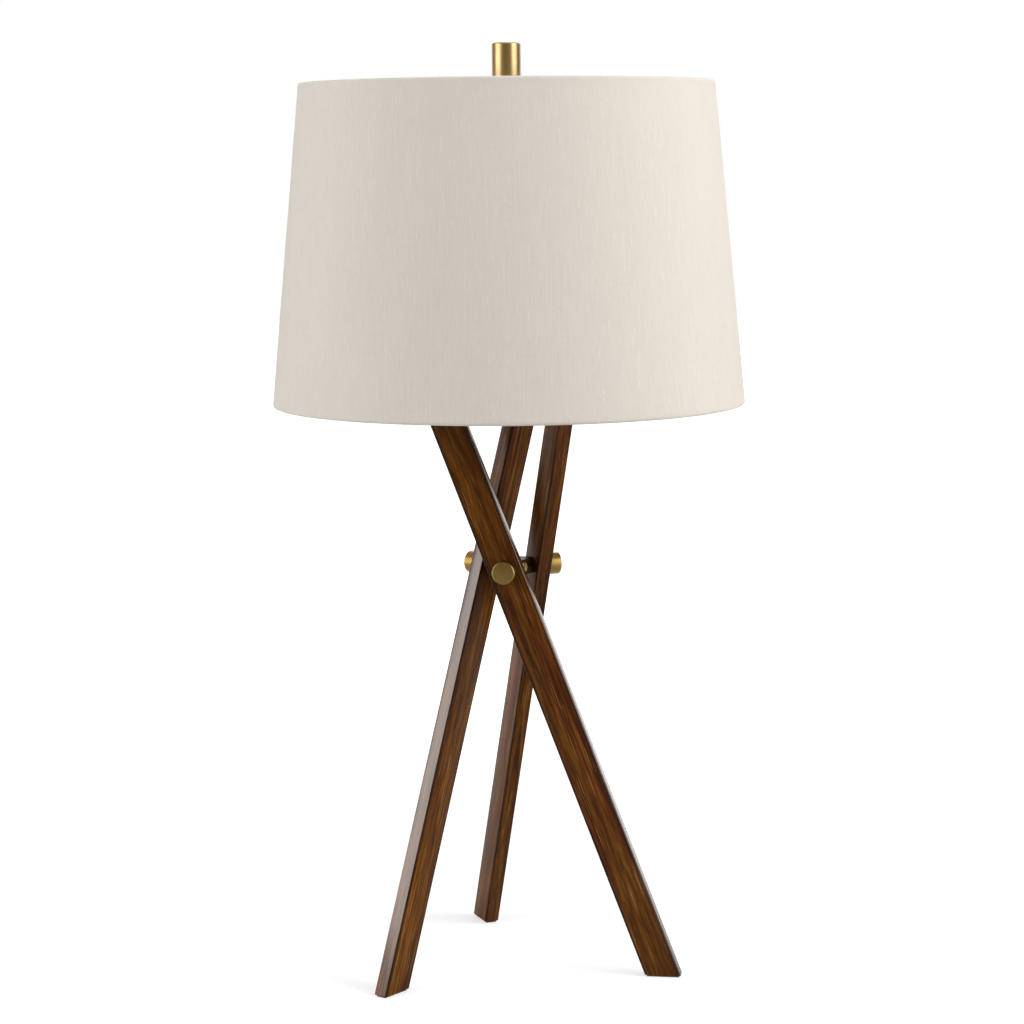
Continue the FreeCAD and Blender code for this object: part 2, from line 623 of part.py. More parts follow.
def plate_screws():
    """Two slotted wood screws into each leg's upper end."""
    made = body("plate_screws", turn=LEG_TURNS["front"])
    shanks = sketch(made, "XY_Plane", offset="plate_top")
    heads = sketch(made, "XY_Plane", offset="plate_top")
    slots = sketch(made, "XY_Plane", offset="plate_top + wood_screw_head_height")
    for way in "+-":
        place = f"screw_shift {way} wood_screw_spacing / 2"
        circle(shanks, "leg_middle_radius", place, "wood_screw_diameter / 2")
        circle(heads, "leg_middle_radius", place, "wood_screw_head / 2")
        rectangle(
            slots,
            "leg_middle_radius - wood_screw_head",
            "leg_middle_radius + wood_screw_head",
            place + " - slot_width / 2",
            place + " + slot_width / 2",
        )
    shank = feature(made, "Pad", shanks, length="wood_screw_length", backwards=True)
    head = feature(made, "Pad", heads, length="wood_screw_head_height")
    three_round(made, shank, head, feature(made, "Pocket", slots, length="slot_depth"))


def hex_nut(label, bottom):
    made = body(label)
    drawn = sketch(made, "XY_Plane", offset=bottom)
    half = "nut_flats / 2"
    outline(drawn, [
        ("nut_corner", "0"),
        ("nut_corner / 2", half),
        ("-nut_corner / 2", half),
        ("-nut_corner", "0"),
        ("-nut_corner / 2", "-" + half),
        ("nut_corner / 2", "-" + half),
    ])
    circle(drawn, "0", "0", "nipple_hole_radius")
    feature(made, "Pad", drawn, length="nut_height")


def nipple_stack():
    """The threaded tube that carries the lampholder, its nuts, washer and end bushing."""
    turned("nipple", tube("nipple_radius", "nipple_bore / 2", "nipple_bottom", "nipple_top"))
    turned("lock_washer", tube("washer_diameter / 2", "nipple_hole_radius", "leg_top - washer_thickness", "leg_top"))
    hex_nut("lower_nut", "leg_top - washer_thickness - nut_height")
    hex_nut("upper_nut", "saddle_top")
    bushing_top = "bushing_bottom + bushing_height"
    turned("cord_bushing", [
        ("nipple_bore / 2", "bushing_bottom"),
        ("bushing_radius - bushing_wall / 2", "bushing_bottom"),
        ("bushing_radius", "bushing_bottom + bushing_wall / 2"),
        ("bushing_radius", bushing_top),
        ("nipple_hole_radius", bushing_top),
        ("nipple_hole_radius", "nipple_bottom"),
        ("nipple_bore / 2", "nipple_bottom"),
    ])


def harp_saddle():
    """A strip bent up at both ends. Each arm carries a prong with a flat on its inner side."""
    made = body("harp_saddle")
    strip = outline(sketch(made, "XZ_Plane"), [
        ("-arm_outer", "plate_top"),
        ("arm_outer", "plate_top"),
        ("arm_outer", "arm_top"),
        ("arm_inner", "arm_top"),
        ("arm_inner", "saddle_top"),
        ("-arm_inner", "saddle_top"),
        ("-arm_inner", "arm_top"),
        ("-arm_outer", "arm_top"),
    ])
    feature(made, "Pad", strip, length="saddle_width", both_ways=True)
    prongs = sketch(made, "XY_Plane", offset="arm_top")
    circle(prongs, "saddle_half_span", "0", "wire_radius")
    circle(prongs, "-saddle_half_span", "0", "wire_radius")
    feature(made, "Pad", prongs, length="prong_height")
    flats = sketch(made, "XZ_Plane")
    rectangle(flats, "saddle_half_span - harp_wire", "prong_flat", "arm_top", "prong_top + 1")
    rectangle(flats, "-prong_flat", "-saddle_half_span + harp_wire", "arm_top", "prong_top + 1")
    feature(made, "Pocket", flats, both_ways=True)
    hole = circle(sketch(made, "XY_Plane", offset="saddle_top"), "0", "0", "nipple_hole_radius")
    feature(made, "Pocket", hole)


def harp():
    """One wire, bent round the bulb. Each foot has a flat that lies against the saddle's prong."""
    made = body("harp")
    path = sketch(made, "XZ_Plane")
    right = [
        ("saddle_half_span", "foot_bottom"),
        ("saddle_half_span", "bend_start", "saddle_half_span + harp_bend", "bend_start", "y"),
        ("bend_half_span", "bend_middle", "harp_half_width - harp_bend", "bend_end", "y"),
        ("harp_half_width", "bend_end"),
        ("harp_half_width", "corner_start", "corner_span", "corner_start", "y"),
        ("corner_span", "harp_top"),
    ]
    left = [
        ("-corner_span", "harp_top", "-corner_span", "corner_start", "y"),
        ("-harp_half_width", "corner_start"),
        ("-harp_half_width", "bend_end", "-harp_half_width + harp_bend", "bend_end", "y"),
        ("-bend_half_span", "bend_middle", "-saddle_half_span - harp_bend", "bend_start", "y"),
        ("-saddle_half_span", "bend_start"),
        ("-saddle_half_span", "foot_bottom"),
    ]
    outline(path, right + left, closed=False)
    section = sketch(made, "XY_Plane", offset="foot_bottom")
    circle(section, "saddle_half_span", "0", "wire_radius")
    wire = made.newObject("PartDesign::AdditivePipe", "harp_wire")
    wire.Profile = section
    wire.Spine = path
    doc.recompute()
    flats = sketch(made, "XZ_Plane")
    rectangle(flats, "foot_flat", "saddle_half_span + harp_wire", "foot_bottom - 1", "foot_flat_top")
    rectangle(flats, "-saddle_half_span - harp_wire", "-foot_flat", "foot_bottom - 1", "foot_flat_top")
    feature(made, "Pocket", flats, both_ways=True)


def harp_stud():
    """The brass piece on the harp's top wire: a seat for the shade, and a stud for the finial."""
    made = turned("harp_stud", [
        ("0", "stud_base_bottom"),
        ("stud_base_diameter / 2", "stud_base_bottom"),
        ("stud_base_diameter / 2", "seat_bottom"),
        ("seat_diameter / 2", "seat_bottom"),
        ("seat_diameter / 2", "seat_top"),
        ("stud_diameter / 2", "seat_top"),
        ("stud_diameter / 2", "stud_top"),
        ("0", "stud_top"),
    ])
    cross_hole = sketch(made, "YZ_Plane")
    circle(cross_hole, "0", "harp_top", "wire_radius + fixing_clearance")
    feature(made, "Pocket", cross_hole, both_ways=True)


def harp_ferrules():
    """Sleeves that hold each harp foot against its prong, and slide up to free it."""
    section = tube("ferrule_radius", "ferrule_bore", "foot_bottom", "foot_bottom + ferrule_height")
    turned("harp_ferrule_left", section, across="-saddle_half_span")
    turned("harp_ferrule_right", section, across="saddle_half_span")


def front_window(made, radius):
    """A round hole from the lamp's axis out to the front, at the switch spindle."""
    window = circle(sketch(made, "XZ_Plane"), "0", "spindle_height", radius)
    feature(made, "Pocket", window, backwards=True)


def lampholder_case():
    """The lampholder's cap, with its set screw, its shell, and the fibre sleeve inside the shell."""
    cap = turned("socket_cap", [
        ("nipple_hole_radius", "nut_top"),
        ("neck_radius", "nut_top"),
        ("neck_radius", "neck_top", "neck_radius", "dome_top", "x"),
        ("socket_radius", "dome_top"),
        ("socket_radius", "skirt_top"),
        ("cap_inner_radius", "skirt_top"),
        ("cap_inner_radius", "dome_top", "neck_radius", "dome_top", "y"),
        ("neck_radius", "neck_top + socket_wall"),
        ("nipple_hole_radius", "neck_top + socket_wall"),
    ])
    hole = sketch(cap, "YZ_Plane")
    circle(hole, "0", "neck_middle", "set_screw_diameter / 2 + fixing_clearance")
    feature(cap, "Pocket", hole, backwards=True)
    screw = body("cap_set_screw")
    screw_end = sketch(screw, "YZ_Plane", offset="nipple_hole_radius")
    circle(screw_end, "0", "neck_middle", "set_screw_diameter / 2")
    feature(screw, "Pad", screw_end, length="set_screw_length")
    shell = turned("socket_shell", [
        ("shell_inner", "shell_bottom"),
        ("shell_radius", "shell_bottom"),
        ("shell_radius", "shell_top - bead_height"),
        ("shell_radius + shell_bead", "shell_top - bead_height + shell_bead"),
        ("shell_radius + shell_bead", "shell_top - shell_bead"),
        ("shell_radius", "shell_top"),
        ("shell_inner", "shell_top"),
    ])
    front_window(shell, "spindle_radius + spindle_window")
    liner = turned("socket_liner", tube(
        "liner_radius", "liner_inner", "shell_bottom + layer_gap", "shell_top - liner_setback"
    ))
    front_window(liner, "spindle_radius + spindle_window")


def socket_core():
    """The moulded body: a switch chamber, a flat and a screw hole for each wire, and the spindle's bearing."""
    made = turned("socket_core", [
        ("0", "core_bottom"),
        ("core_radius", "core_bottom"),
        ("core_radius", "core_top"),
        ("0", "core_top"),
    ])
    flats = sketch(made, "XZ_Plane")
    rectangle(flats, "terminal_flat", "socket_radius", "core_bottom - 1", "terminal_flat_top")
    rectangle(flats, "-socket_radius", "-terminal_flat", "core_bottom - 1", "terminal_flat_top")
    feature(made, "Pocket", flats, both_ways=True)
    chamber = sketch(made, "XZ_Plane", offset="-cavity_back")
    rectangle(chamber, "-cavity_half_width", "cavity_half_width", "cavity_bottom", "cavity_top")
    feature(made, "Pocket", chamber, length="cavity_front + cavity_back", backwards=True)
    wires = sketch(made, "YZ_Plane")
    circle(wires, "0", "terminal_height", "terminal_shank / 2 + fixing_clearance")
    feature(made, "Pocket", wires, both_ways=True)
    front_window(made, "spindle_hole")


def terminal_screw(label, turn):
    """A slotted screw that clamps one wire against the moulded body's flat."""
    made = turned(label, [
        ("terminal_flat - terminal_grip", "0"),
        ("terminal_flat", "0"),
        ("terminal_flat + terminal_head_height", "0"),
        ("terminal_flat + terminal_head_height", "terminal_head / 2"),
        ("terminal_flat", "terminal_head / 2"),
        ("terminal_flat", "terminal_shank / 2"),
        ("terminal_flat - terminal_grip", "terminal_shank / 2"),
    ], axis="H_Axis", turn=turn, lift="terminal_height")
    slot = sketch(made, "YZ_Plane", offset="terminal_flat + terminal_head_height")
    rectangle(slot, "-slot_width / 2", "slot_width / 2", "-terminal_head", "terminal_head")
    feature(made, "Pocket", slot, length="slot_depth")


def lampholder_contacts():
    """The threaded sleeve, the centre contact spring and the switch leaf."""
    turned("screw_shell", [
        ("contact_hole_radius", "core_top"),
        ("screw_shell_radius", "core_top"),
        ("screw_shell_radius", "screw_shell_top"),
        ("screw_shell_inner", "screw_shell_top"),
        ("screw_shell_inner", "core_top + screw_shell_wall"),
        ("contact_hole_radius", "core_top + screw_shell_wall"),
    ])
    spring = body("centre_contact")
    strip = outline(sketch(spring, "XZ_Plane"), [
        ("-contact_hole_radius + 1", "core_top"),
        ("-contact_width / 2 + contact_thickness", "core_top"),
        ("contact_thickness", "contact_top - contact_thickness"),
        ("contact_width", "contact_top - contact_thickness"),
        ("contact_width", "contact_top"),
        ("0", "contact_top"),
        ("-contact_width / 2", "core_top + contact_thickness"),
        ("-contact_hole_radius + 1", "core_top + contact_thickness"),
    ])
    feature(spring, "Pad", strip, length="contact_width", both_ways=True)
    leaf = body("switch_leaf")
    strip = sketch(leaf, "XZ_Plane")
    rectangle(strip, "-leaf_length / 2", "leaf_length / 2", "cavity_bottom", "cavity_bottom + leaf_thickness")
    feature(leaf, "Pad", strip, length="leaf_width", both_ways=True)


def switch():
    """The parts of the switch that turn together: cam, spindle and key."""
    cam = body("switch_cam", lift="spindle_height")
    face = sketch(cam, "XZ_Plane")
    rectangle(face, "-cam_half", "cam_half", "-cam_half", "cam_half")
    circle(face, "0", "0", "spindle_radius + fixing_clearance")
    feature(cam, "Pad", face, length="cam_length", both_ways=True)
    spindle = body("switch_spindle", lift="spindle_height")
    end = circle(sketch(spindle, "XZ_Plane", offset="-cam_length / 2"), "0", "0", "spindle_radius")
    feature(spindle, "Pad", end, length="spindle_reach + cam_length / 2")
    key = body("switch_key", lift="spindle_height")
    blade = sketch(key, "XY_Plane")
    start = "-key_start - key_collar_length / 2"
    end = "-key_start - key_length"
    rectangle(blade, "-key_width / 2", "key_width / 2", end, start)
    blade_pad = feature(key, "Pad", blade, length="key_thickness", both_ways=True)
    rounding = key.newObject("PartDesign::Fillet", "switch_key_edges")
    rounding.Base = (blade_pad, [f"Edge{number}" for number in range(1, len(blade_pad.Shape.Edges) + 1)])
    bind(rounding, Radius="key_round")
    doc.recompute()
    collar = circle(sketch(key, "XZ_Plane", offset="key_start"), "0", "0", "key_collar / 2")
    feature(key, "Pad", collar, length="key_collar_length")
    bore = circle(sketch(key, "XZ_Plane", offset="key_start"), "0", "0", "spindle_radius + fixing_clearance")
    feature(key, "Pocket", bore, length="spindle_reach - key_start + seat_gap", backwards=True)


def bulb():
    """A screw-in bulb. The foot contact is a piece of its own, because it rises with the bulb but needn't turn."""
    turned("bulb_tip_contact", [
        ("0", "tip_bottom"),
        ("tip_radius - tip_height / 2", "tip_bottom"),
        ("tip_radius", "tip_bottom + tip_height / 2"),
        ("tip_radius", "tip_top"),
        ("0", "tip_top"),
    ])
    turned("bulb_insulator", [
        ("0", "insulator_bottom"),
        ("tip_radius", "insulator_bottom"),
        ("insulator_top_radius", "base_bottom"),
        ("0", "base_bottom"),
    ])
    turned("bulb_base", [
        ("insulator_top_radius - base_wall", "base_bottom"),
        ("insulator_top_radius", "base_bottom"),
        ("base_radius", "base_bottom + base_radius - insulator_top_radius"),
        ("base_radius", "base_top"),
        ("base_radius - base_wall", "base_top"),
        ("base_radius - base_wall", "base_bottom + base_radius - insulator_top_radius"),
        ("insulator_top_radius - base_wall", "base_bottom + base_wall"),
    ])
    neck_centre = "neck_glass_radius + swell_radius"
    turned("bulb_glass", [
        ("neck_glass_radius", "glass_bottom"),
        ("neck_glass_radius", "swell_start", neck_centre, "swell_start", "y"),
        ("swell_end_radius", "swell_end_height", "0", "globe_height", "x"),
        ("0", "globe_top"),
        ("0", "hollow_top", "0", "globe_height", "x"),
        ("hollow_end_radius", "hollow_end_height", neck_centre, "swell_start", "y"),
        ("hollow_neck_radius", "swell_start"),
        ("hollow_neck_radius", "glass_bottom"),
    ])


def shade_wall(label, setback, wall, low, high):
    """One tapered layer of the shade's wall. low and high name the heights of its two ends."""
    ends = []
    for height in (low, high):
        ends.append((f"shade_bottom_radius - shade_slope * {height} + shade_slope * shade_bottom", height))
    outer = [(f"{radius} - {setback}", height) for radius, height in ends]
    inner = [(f"{radius} - {setback} - {wall}", height) for radius, height in reversed(ends)]
    turned(label, outer + inner)


def rolled_edge(end, way):
    """The linen rolled round a ring: a hooked section, open away from the shade's rim. Way is + where the rim is
    above the ring and - where it is below. Each quarter of the roll is two straight facets."""
    radius, middle = f"trim_{end}_radius", f"trim_{end}_height"
    edge_radius, edge = f"cover_{end}_radius", f"cover_{end}"
    centre = radius + " - roll_outer"

    def roll(size):
        return [
            (f"{centre} + {size}", middle),
            (f"{centre} + {size} * diagonal", f"{middle} {way} {size} * diagonal"),
            (centre, f"{middle} {way} {size}"),
            (f"{centre} - {size} * diagonal", f"{middle} {way} {size} * diagonal"),
            (f"{centre} - {size}", middle),
        ]

    outer = [(edge_radius, edge)] + roll("roll_outer") + [(edge_radius + " - trim_width", edge)]
    inner = [(edge_radius + " - trim_width + trim_wall", edge)] + roll("roll_inner")[::-1]
    return turned(f"shade_{end}_trim", outer + inner + [(edge_radius + " - trim_wall", edge)], turn="90")


def ring(label, radius, height):
    made = doc.addObject("Part::Torus", label)
    bind(made, Radius1=radius, Radius2="ring_radius", Placement__Base__z=height)
    keep(made, label)


def shade():
    """Linen on a stiff backing, rolled round two rings, and the washer and arms that hold the upper ring."""
    shade_wall("shade_cover", "0", "cover_wall", "cover_bottom", "cover_top")
    shade_wall("shade_backing", "backing_setback", "backing_wall", "trim_bottom_height", "trim_top_height")
    rolled_edge("bottom", "-")
    top_trim = rolled_edge("top", "+")
    slit = sketch(top_trim, "YZ_Plane", offset="top_ring_radius")
    circle(slit, "0", "trim_top_height", "arm_wire / 2 + arm_room")
    three_round(top_trim, feature(top_trim, "Pocket", slit, length="trim_width"))
    ring("shade_top_ring", "top_ring_radius", "trim_top_height")
    ring("shade_bottom_ring", "bottom_ring_radius", "trim_bottom_height")
    turned("shade_washer", tube("fitter_radius", "fitter_hole", "fitter_bottom", "fitter_top"))
    arms = body("shade_arms", turn="90", lift="fitter_middle")
    section = sketch(arms, "YZ_Plane", offset="arm_start")
    circle(section, "0", "0", "arm_wire / 2")
    line = outline(sketch(arms, "XZ_Plane"), [("arm_start", "0"), ("arm_end", "arm_rise")], closed=False)
    wire = arms.newObject("PartDesign::AdditivePipe", "shade_arms_wire")
    wire.Profile = section
    wire.Spine = line
    doc.recompute()
    three_round(arms, wire)


def finial():
    """A plain brass cylinder, and the tapped insert pressed into its lower end."""
    radius = "finial_diameter / 2"
    turned("finial", [
        ("finial_bore", "finial_bottom"),
        (radius + " - finial_edge", "finial_bottom"),
        (radius, "finial_bottom + finial_edge"),
        (radius, "finial_top - finial_edge"),
        (radius + " - finial_edge", "finial_top"),
        ("0", "finial_top"),
        ("0", "finial_bore_top"),
        ("finial_bore", "finial_bore_top"),
    ])
    turned("finial_insert", tube("insert_radius", "insert_bore", "finial_bottom", "insert_top"))


def check_and_write():
    """Stops at a failed object or a bad solid, and otherwise writes every sub-part."""
    doc.recompute()
    for obj in doc.Objects:
        if {"Invalid", "Error"} & set(obj.State):
            raise RuntimeError(f"{obj.Label} failed: {obj.State}")
    for part in parts:
        shape = part.Shape
        if shape.isNull() or not shape.isValid() or not shape.Solids:
            raise RuntimeError(f"{part.Label} has no valid solid")
    os.makedirs("parts", exist_ok=True)
    for part in parts:
        part.Shape.exportStep(f"parts/{part.Label}.step")
        print(f"{part.Label}: {len(part.Shape.Solids)} solid(s), {part.Shape.Volume:.0f} cubic mm")


for side in LEG_TURNS:
    leg(side)
    foot_pad(side)
    cross_cap(side)
crossing_hub()
cross_bolts()
hub_lock_screws()
top_plate()
plate_screws()
nipple_stack()
harp_saddle()
harp()
harp_stud()
harp_ferrules()
lampholder_case()
socket_core()
terminal_screw("live_terminal_screw", "180")
terminal_screw("neutral_terminal_screw", "0")
lampholder_contacts()
switch()
bulb()
shade()
finial()
check_and_write()
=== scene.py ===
import json
import math

import bmesh
import bpy
from mathutils import Matrix, Vector, noise


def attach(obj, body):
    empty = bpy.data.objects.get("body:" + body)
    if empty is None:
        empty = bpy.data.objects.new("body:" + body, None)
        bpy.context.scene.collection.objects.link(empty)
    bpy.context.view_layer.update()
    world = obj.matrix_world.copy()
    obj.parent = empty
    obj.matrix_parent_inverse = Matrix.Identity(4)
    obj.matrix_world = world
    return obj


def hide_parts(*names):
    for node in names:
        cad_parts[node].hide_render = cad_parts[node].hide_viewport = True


# Tripod table lamp. Lengths are in metres. The origin lies on the table, under the shade's middle.

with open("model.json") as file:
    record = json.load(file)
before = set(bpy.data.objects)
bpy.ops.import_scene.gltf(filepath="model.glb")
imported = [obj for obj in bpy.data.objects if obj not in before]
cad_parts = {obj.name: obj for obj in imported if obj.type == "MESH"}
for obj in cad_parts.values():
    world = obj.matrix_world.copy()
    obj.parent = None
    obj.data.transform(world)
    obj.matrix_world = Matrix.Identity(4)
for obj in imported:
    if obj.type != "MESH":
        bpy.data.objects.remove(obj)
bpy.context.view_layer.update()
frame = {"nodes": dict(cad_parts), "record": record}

MM = 0.001
WHITE = (1, 1, 1, 1)

# Points nearer than NEAR lie in one place, and points nearer than WELD are joined.
NEAR, WELD = 0.001 * MM, 0.005 * MM

# Each leg's place round the lamp, anticlockwise from above, and where its board's figure starts.
LEG_TURNS = {
    "front": math.radians(-98.4),
    "left": math.radians(-218.4),
    "right": math.radians(21.6),
}
LEG_BOARDS = {"front": 0.0, "left": 0.7, "right": 1.9}

# The legs. At the crossing their faces lie at LEG_INNER and LEG_OUTER from the lamp's middle.
LEG_LEAN = math.radians(20.98)
LEG_THICKNESS = 12.3 * MM
LEG_WIDTH = 27.5 * MM
LEG_INNER = 18.2 * MM
LEG_OUTER = LEG_INNER + LEG_THICKNESS
LEG_MIDDLE = LEG_INNER + LEG_THICKNESS / 2
LEG_TOP = 490 * MM
LEG_EDGE, LEG_END_EDGE = 1.3 * MM, 0.4 * MM
TIMBER_LENGTH = 800 * MM
CROSSING = 333 * MM

# The felt under the feet, the hub between the legs and the caps on them.
PAD_THICKNESS, PAD_INSET, PAD_EDGE = 1.5 * MM, 1.5 * MM, 0.45 * MM
HUB_HEIGHT, HUB_CORNER, HUB_EDGE = 12 * MM, 14 * MM, 0.7 * MM
CAP_RADIUS, CAP_LENGTH = 9.25 * MM, 11.5 * MM
CAP_CHAMFER, CAP_BACK_CHAMFER = 0.7 * MM, 0.3 * MM

# The finial.
FINIAL_BOTTOM, FINIAL_TOP, FINIAL_RADIUS = 712 * MM, 754 * MM, 11.6 * MM
FINIAL_CHAMFER = 0.8 * MM

# The shade. CLOTH_RADIUS is the one that its cloth is measured round.
SHADE_BOTTOM, SHADE_TOP = 466.2 * MM, 723.2 * MM
SHADE_BOTTOM_RADIUS, SHADE_TOP_RADIUS = 190.5 * MM, 165.8 * MM
SHADE_SLOPE = (SHADE_BOTTOM_RADIUS - SHADE_TOP_RADIUS) / (SHADE_TOP - SHADE_BOTTOM)
CLOTH_RADIUS = 178 * MM

# Its linen cover. It stops short of the rims by COVER_MARGIN, under the trim. From the trim's edge
# it eases out by COVER_EASE, and its slight waves grow to full over COVER_WAVE_GROWTH.
COVER_MARGIN, COVER_THICKNESS, COVER_EASE = 2.5 * MM, 0.5 * MM, 0.1 * MM
COVER_WAVE, COVER_WAVE_GROWTH = 0.22 * MM, 20 * MM
SEAM_LAP, SEAM_LIFT = 12 * MM, 0.55 * MM

# How fast the linen's weave goes up and down, in radians a metre: once every 0.75 mm.
WEAVE = 8400

# The linen rolled over its rims, which stands TRIM_PROUD of the cover.
TRIM_HEIGHT, TRIM_WIDTH = 5 * MM, 5.2 * MM
TRIM_PROUD, TRIM_SKIN = 0.1 * MM, 0.8 * MM
TRIM_WAVE, TRIM_EDGE_WAVE = 0.06 * MM, 0.25 * MM

# The bulb: its glass, and its screw base with a collar, a thread and a foot.
GLOBE_HEIGHT, GLOBE_RADIUS = 620.5 * MM, 27.5 * MM
GLASS_NECK, GLASS_IN_BASE, SWELL_START = 12.4 * MM, 8 * MM, 575.5 * MM
BASE_BOTTOM, BASE_TOP, BASE_RADIUS = 547.5 * MM, 567.5 * MM, 13.1 * MM
THREAD_PITCH, THREAD_DEPTH, THREAD_TURNS = 3.629 * MM, 0.9 * MM, 3
THREAD_START = BASE_BOTTOM + 0.8 * MM
COLLAR_BOTTOM, COLLAR_CHAMFER = BASE_TOP - 5.6 * MM, 0.4 * MM
COLLAR_INNER, COLLAR_OUTER = GLASS_NECK - 1 * MM, BASE_RADIUS - 0.35 * MM
FOOT_SHOULDER, FOOT_TOP = BASE_BOTTOM + 1.2 * MM, BASE_BOTTOM + 4.4 * MM
FOOT_TIP_RADIUS, FOOT_SHOULDER_RADIUS, FOOT_TOP_RADIUS = 11.4 * MM, 12.5 * MM, 12.1 * MM

# The lampholder's shell.
SHELL_BOTTOM, SHELL_TOP = 517.2 * MM, 566.2 * MM
SHELL_RADIUS, SHELL_WALL = 16.1 * MM, 0.8 * MM
SHELL_BEADS, BEAD_RADIUS = (542 * MM, 550 * MM), 0.9 * MM


# ---- finishes ----

class Nodes:
    """A node tree, with short ways to add to it."""

    def __init__(self, tree):
        self.tree = tree

    def add(self, kind, inputs=None, **settings):
        """A node with its settings, and inputs by name or number: a value, or an output to link."""
        node = self.tree.nodes.new("ShaderNode" + kind)
        for key, value in settings.items():
            setattr(node, key, value)
        for key, value in (inputs or {}).items():
            self.feed(node.inputs[key], value)
        return node

    def feed(self, socket, value):
        if isinstance(value, bpy.types.NodeSocket):
            self.tree.links.new(value, socket)
        else:
            socket.default_value = value

    def object_place(self):
        return self.add("TexCoord").outputs["Object"]

    def attribute(self, name):
        return self.add("Attribute", attribute_name=name).outputs["Vector"]

    def noise(self, place, scale, offset=(0, 0, 0), detail=3.0, roughness=0.55, distortion=0.0):
        """Noise over a place. The scale is one number, or three of them, one for each axis."""
        if not isinstance(scale, tuple):
            scale = (scale, scale, scale)
        moved = self.add("Mapping", {"Vector": place, "Scale": scale, "Location": offset})
        inputs = {
            "Vector": moved.outputs["Vector"],
            "Scale": 1.0,
            "Detail": detail,
            "Roughness": roughness,
            "Distortion": distortion,
        }
        return self.add("TexNoise", inputs).outputs["Fac"]

    def math(self, operation, *values):
        return self.add("Math", dict(enumerate(values)), operation=operation).outputs[0]

    def summed(self, *shares):
        """Values added up, each of them times its share."""
        total = None
        for value, share in shares:
            part = self.math("MULTIPLY", value, share)
            total = part if total is None else self.math("ADD", total, part)
        return total

    def between(self, value, low, high, low_to=0.0, high_to=1.0):
        """The value, spread smoothly from low..high to low_to..high_to."""
        inputs = {
            "Value": value,
            "From Min": low,
            "From Max": high,
            "To Min": low_to,
            "To Max": high_to,
        }
        return self.add("MapRange", inputs, interpolation_type="SMOOTHSTEP").outputs["Result"]

    def ramp(self, value, *stops):
        """A colour for the value, from (position, colour) stops."""
        node = self.add("ValToRGB", {"Fac": value})
        elements = node.color_ramp.elements
        while len(elements) < len(stops):
            elements.new(0.5)
        for element, (position, colour) in zip(elements, stops):
            element.position = position
            element.color = (*colour, 1)
        return node.outputs["Color"]

    def mixed(self, share, first, second, blend="MIX"):
        node = self.add("Mix", {0: share}, data_type="RGBA", blend_type=blend)
        for number, value in ((6, first), (7, second)):
            if isinstance(value, tuple):
                value = (*value, 1)
            self.feed(node.inputs[number], value)
        return node.outputs[2]

    def laid_over(self, base, colour, mask, low, high, most, blend="MIX"):
        """Colour over a base: none of it where the mask is at low, and the most of it at high."""
        return self.mixed(self.between(mask, low, high, 0.0, most), base, colour, blend)

    def ray_masks(self):
        """One for camera rays, and one for camera, glossy and transmission rays together."""
        rays = self.add("LightPath").outputs
        seen = rays["Is Camera Ray"]
        for ray in ("Is Glossy Ray", "Is Transmission Ray"):
            seen = self.math("MAXIMUM", seen, rays[ray])
        return rays["Is Camera Ray"], seen


class Finish(Nodes):
    """A procedural material, built round one Principled shader."""

    def __init__(self, name, **settings):
        self.material = bpy.data.materials.new(name)
        self.material.use_nodes = True
        super().__init__(self.material.node_tree)
        self.shader = self.tree.nodes["Principled BSDF"]
        for socket, value in settings.items():
            self.shader.inputs[socket.replace("_", " ")].default_value = value

    def colour(self, value):
        self.feed(self.shader.inputs["Base Color"], value)

    def rough(self, value):
        self.feed(self.shader.inputs["Roughness"], value)

    def clouded(self, place, scale, colour, shade):
        """Lets the colour drift to the shade in soft clouds, and gives the clouds back."""
        cloud = self.noise(place, scale)
        self.colour(self.mixed(self.between(cloud, 0.3, 0.75), colour, shade))
        return cloud

    def raised(self, height, distance, strength, under=None):
        """Bump in metres, laid over another bump if under is given."""
        inputs = {"Height": height, "Distance": distance, "Strength": strength}
        if under is not None:
            inputs["Normal"] = under
        normal = self.add("Bump", inputs).outputs["Normal"]
        self.feed(self.shader.inputs["Normal"], normal)
        return normal


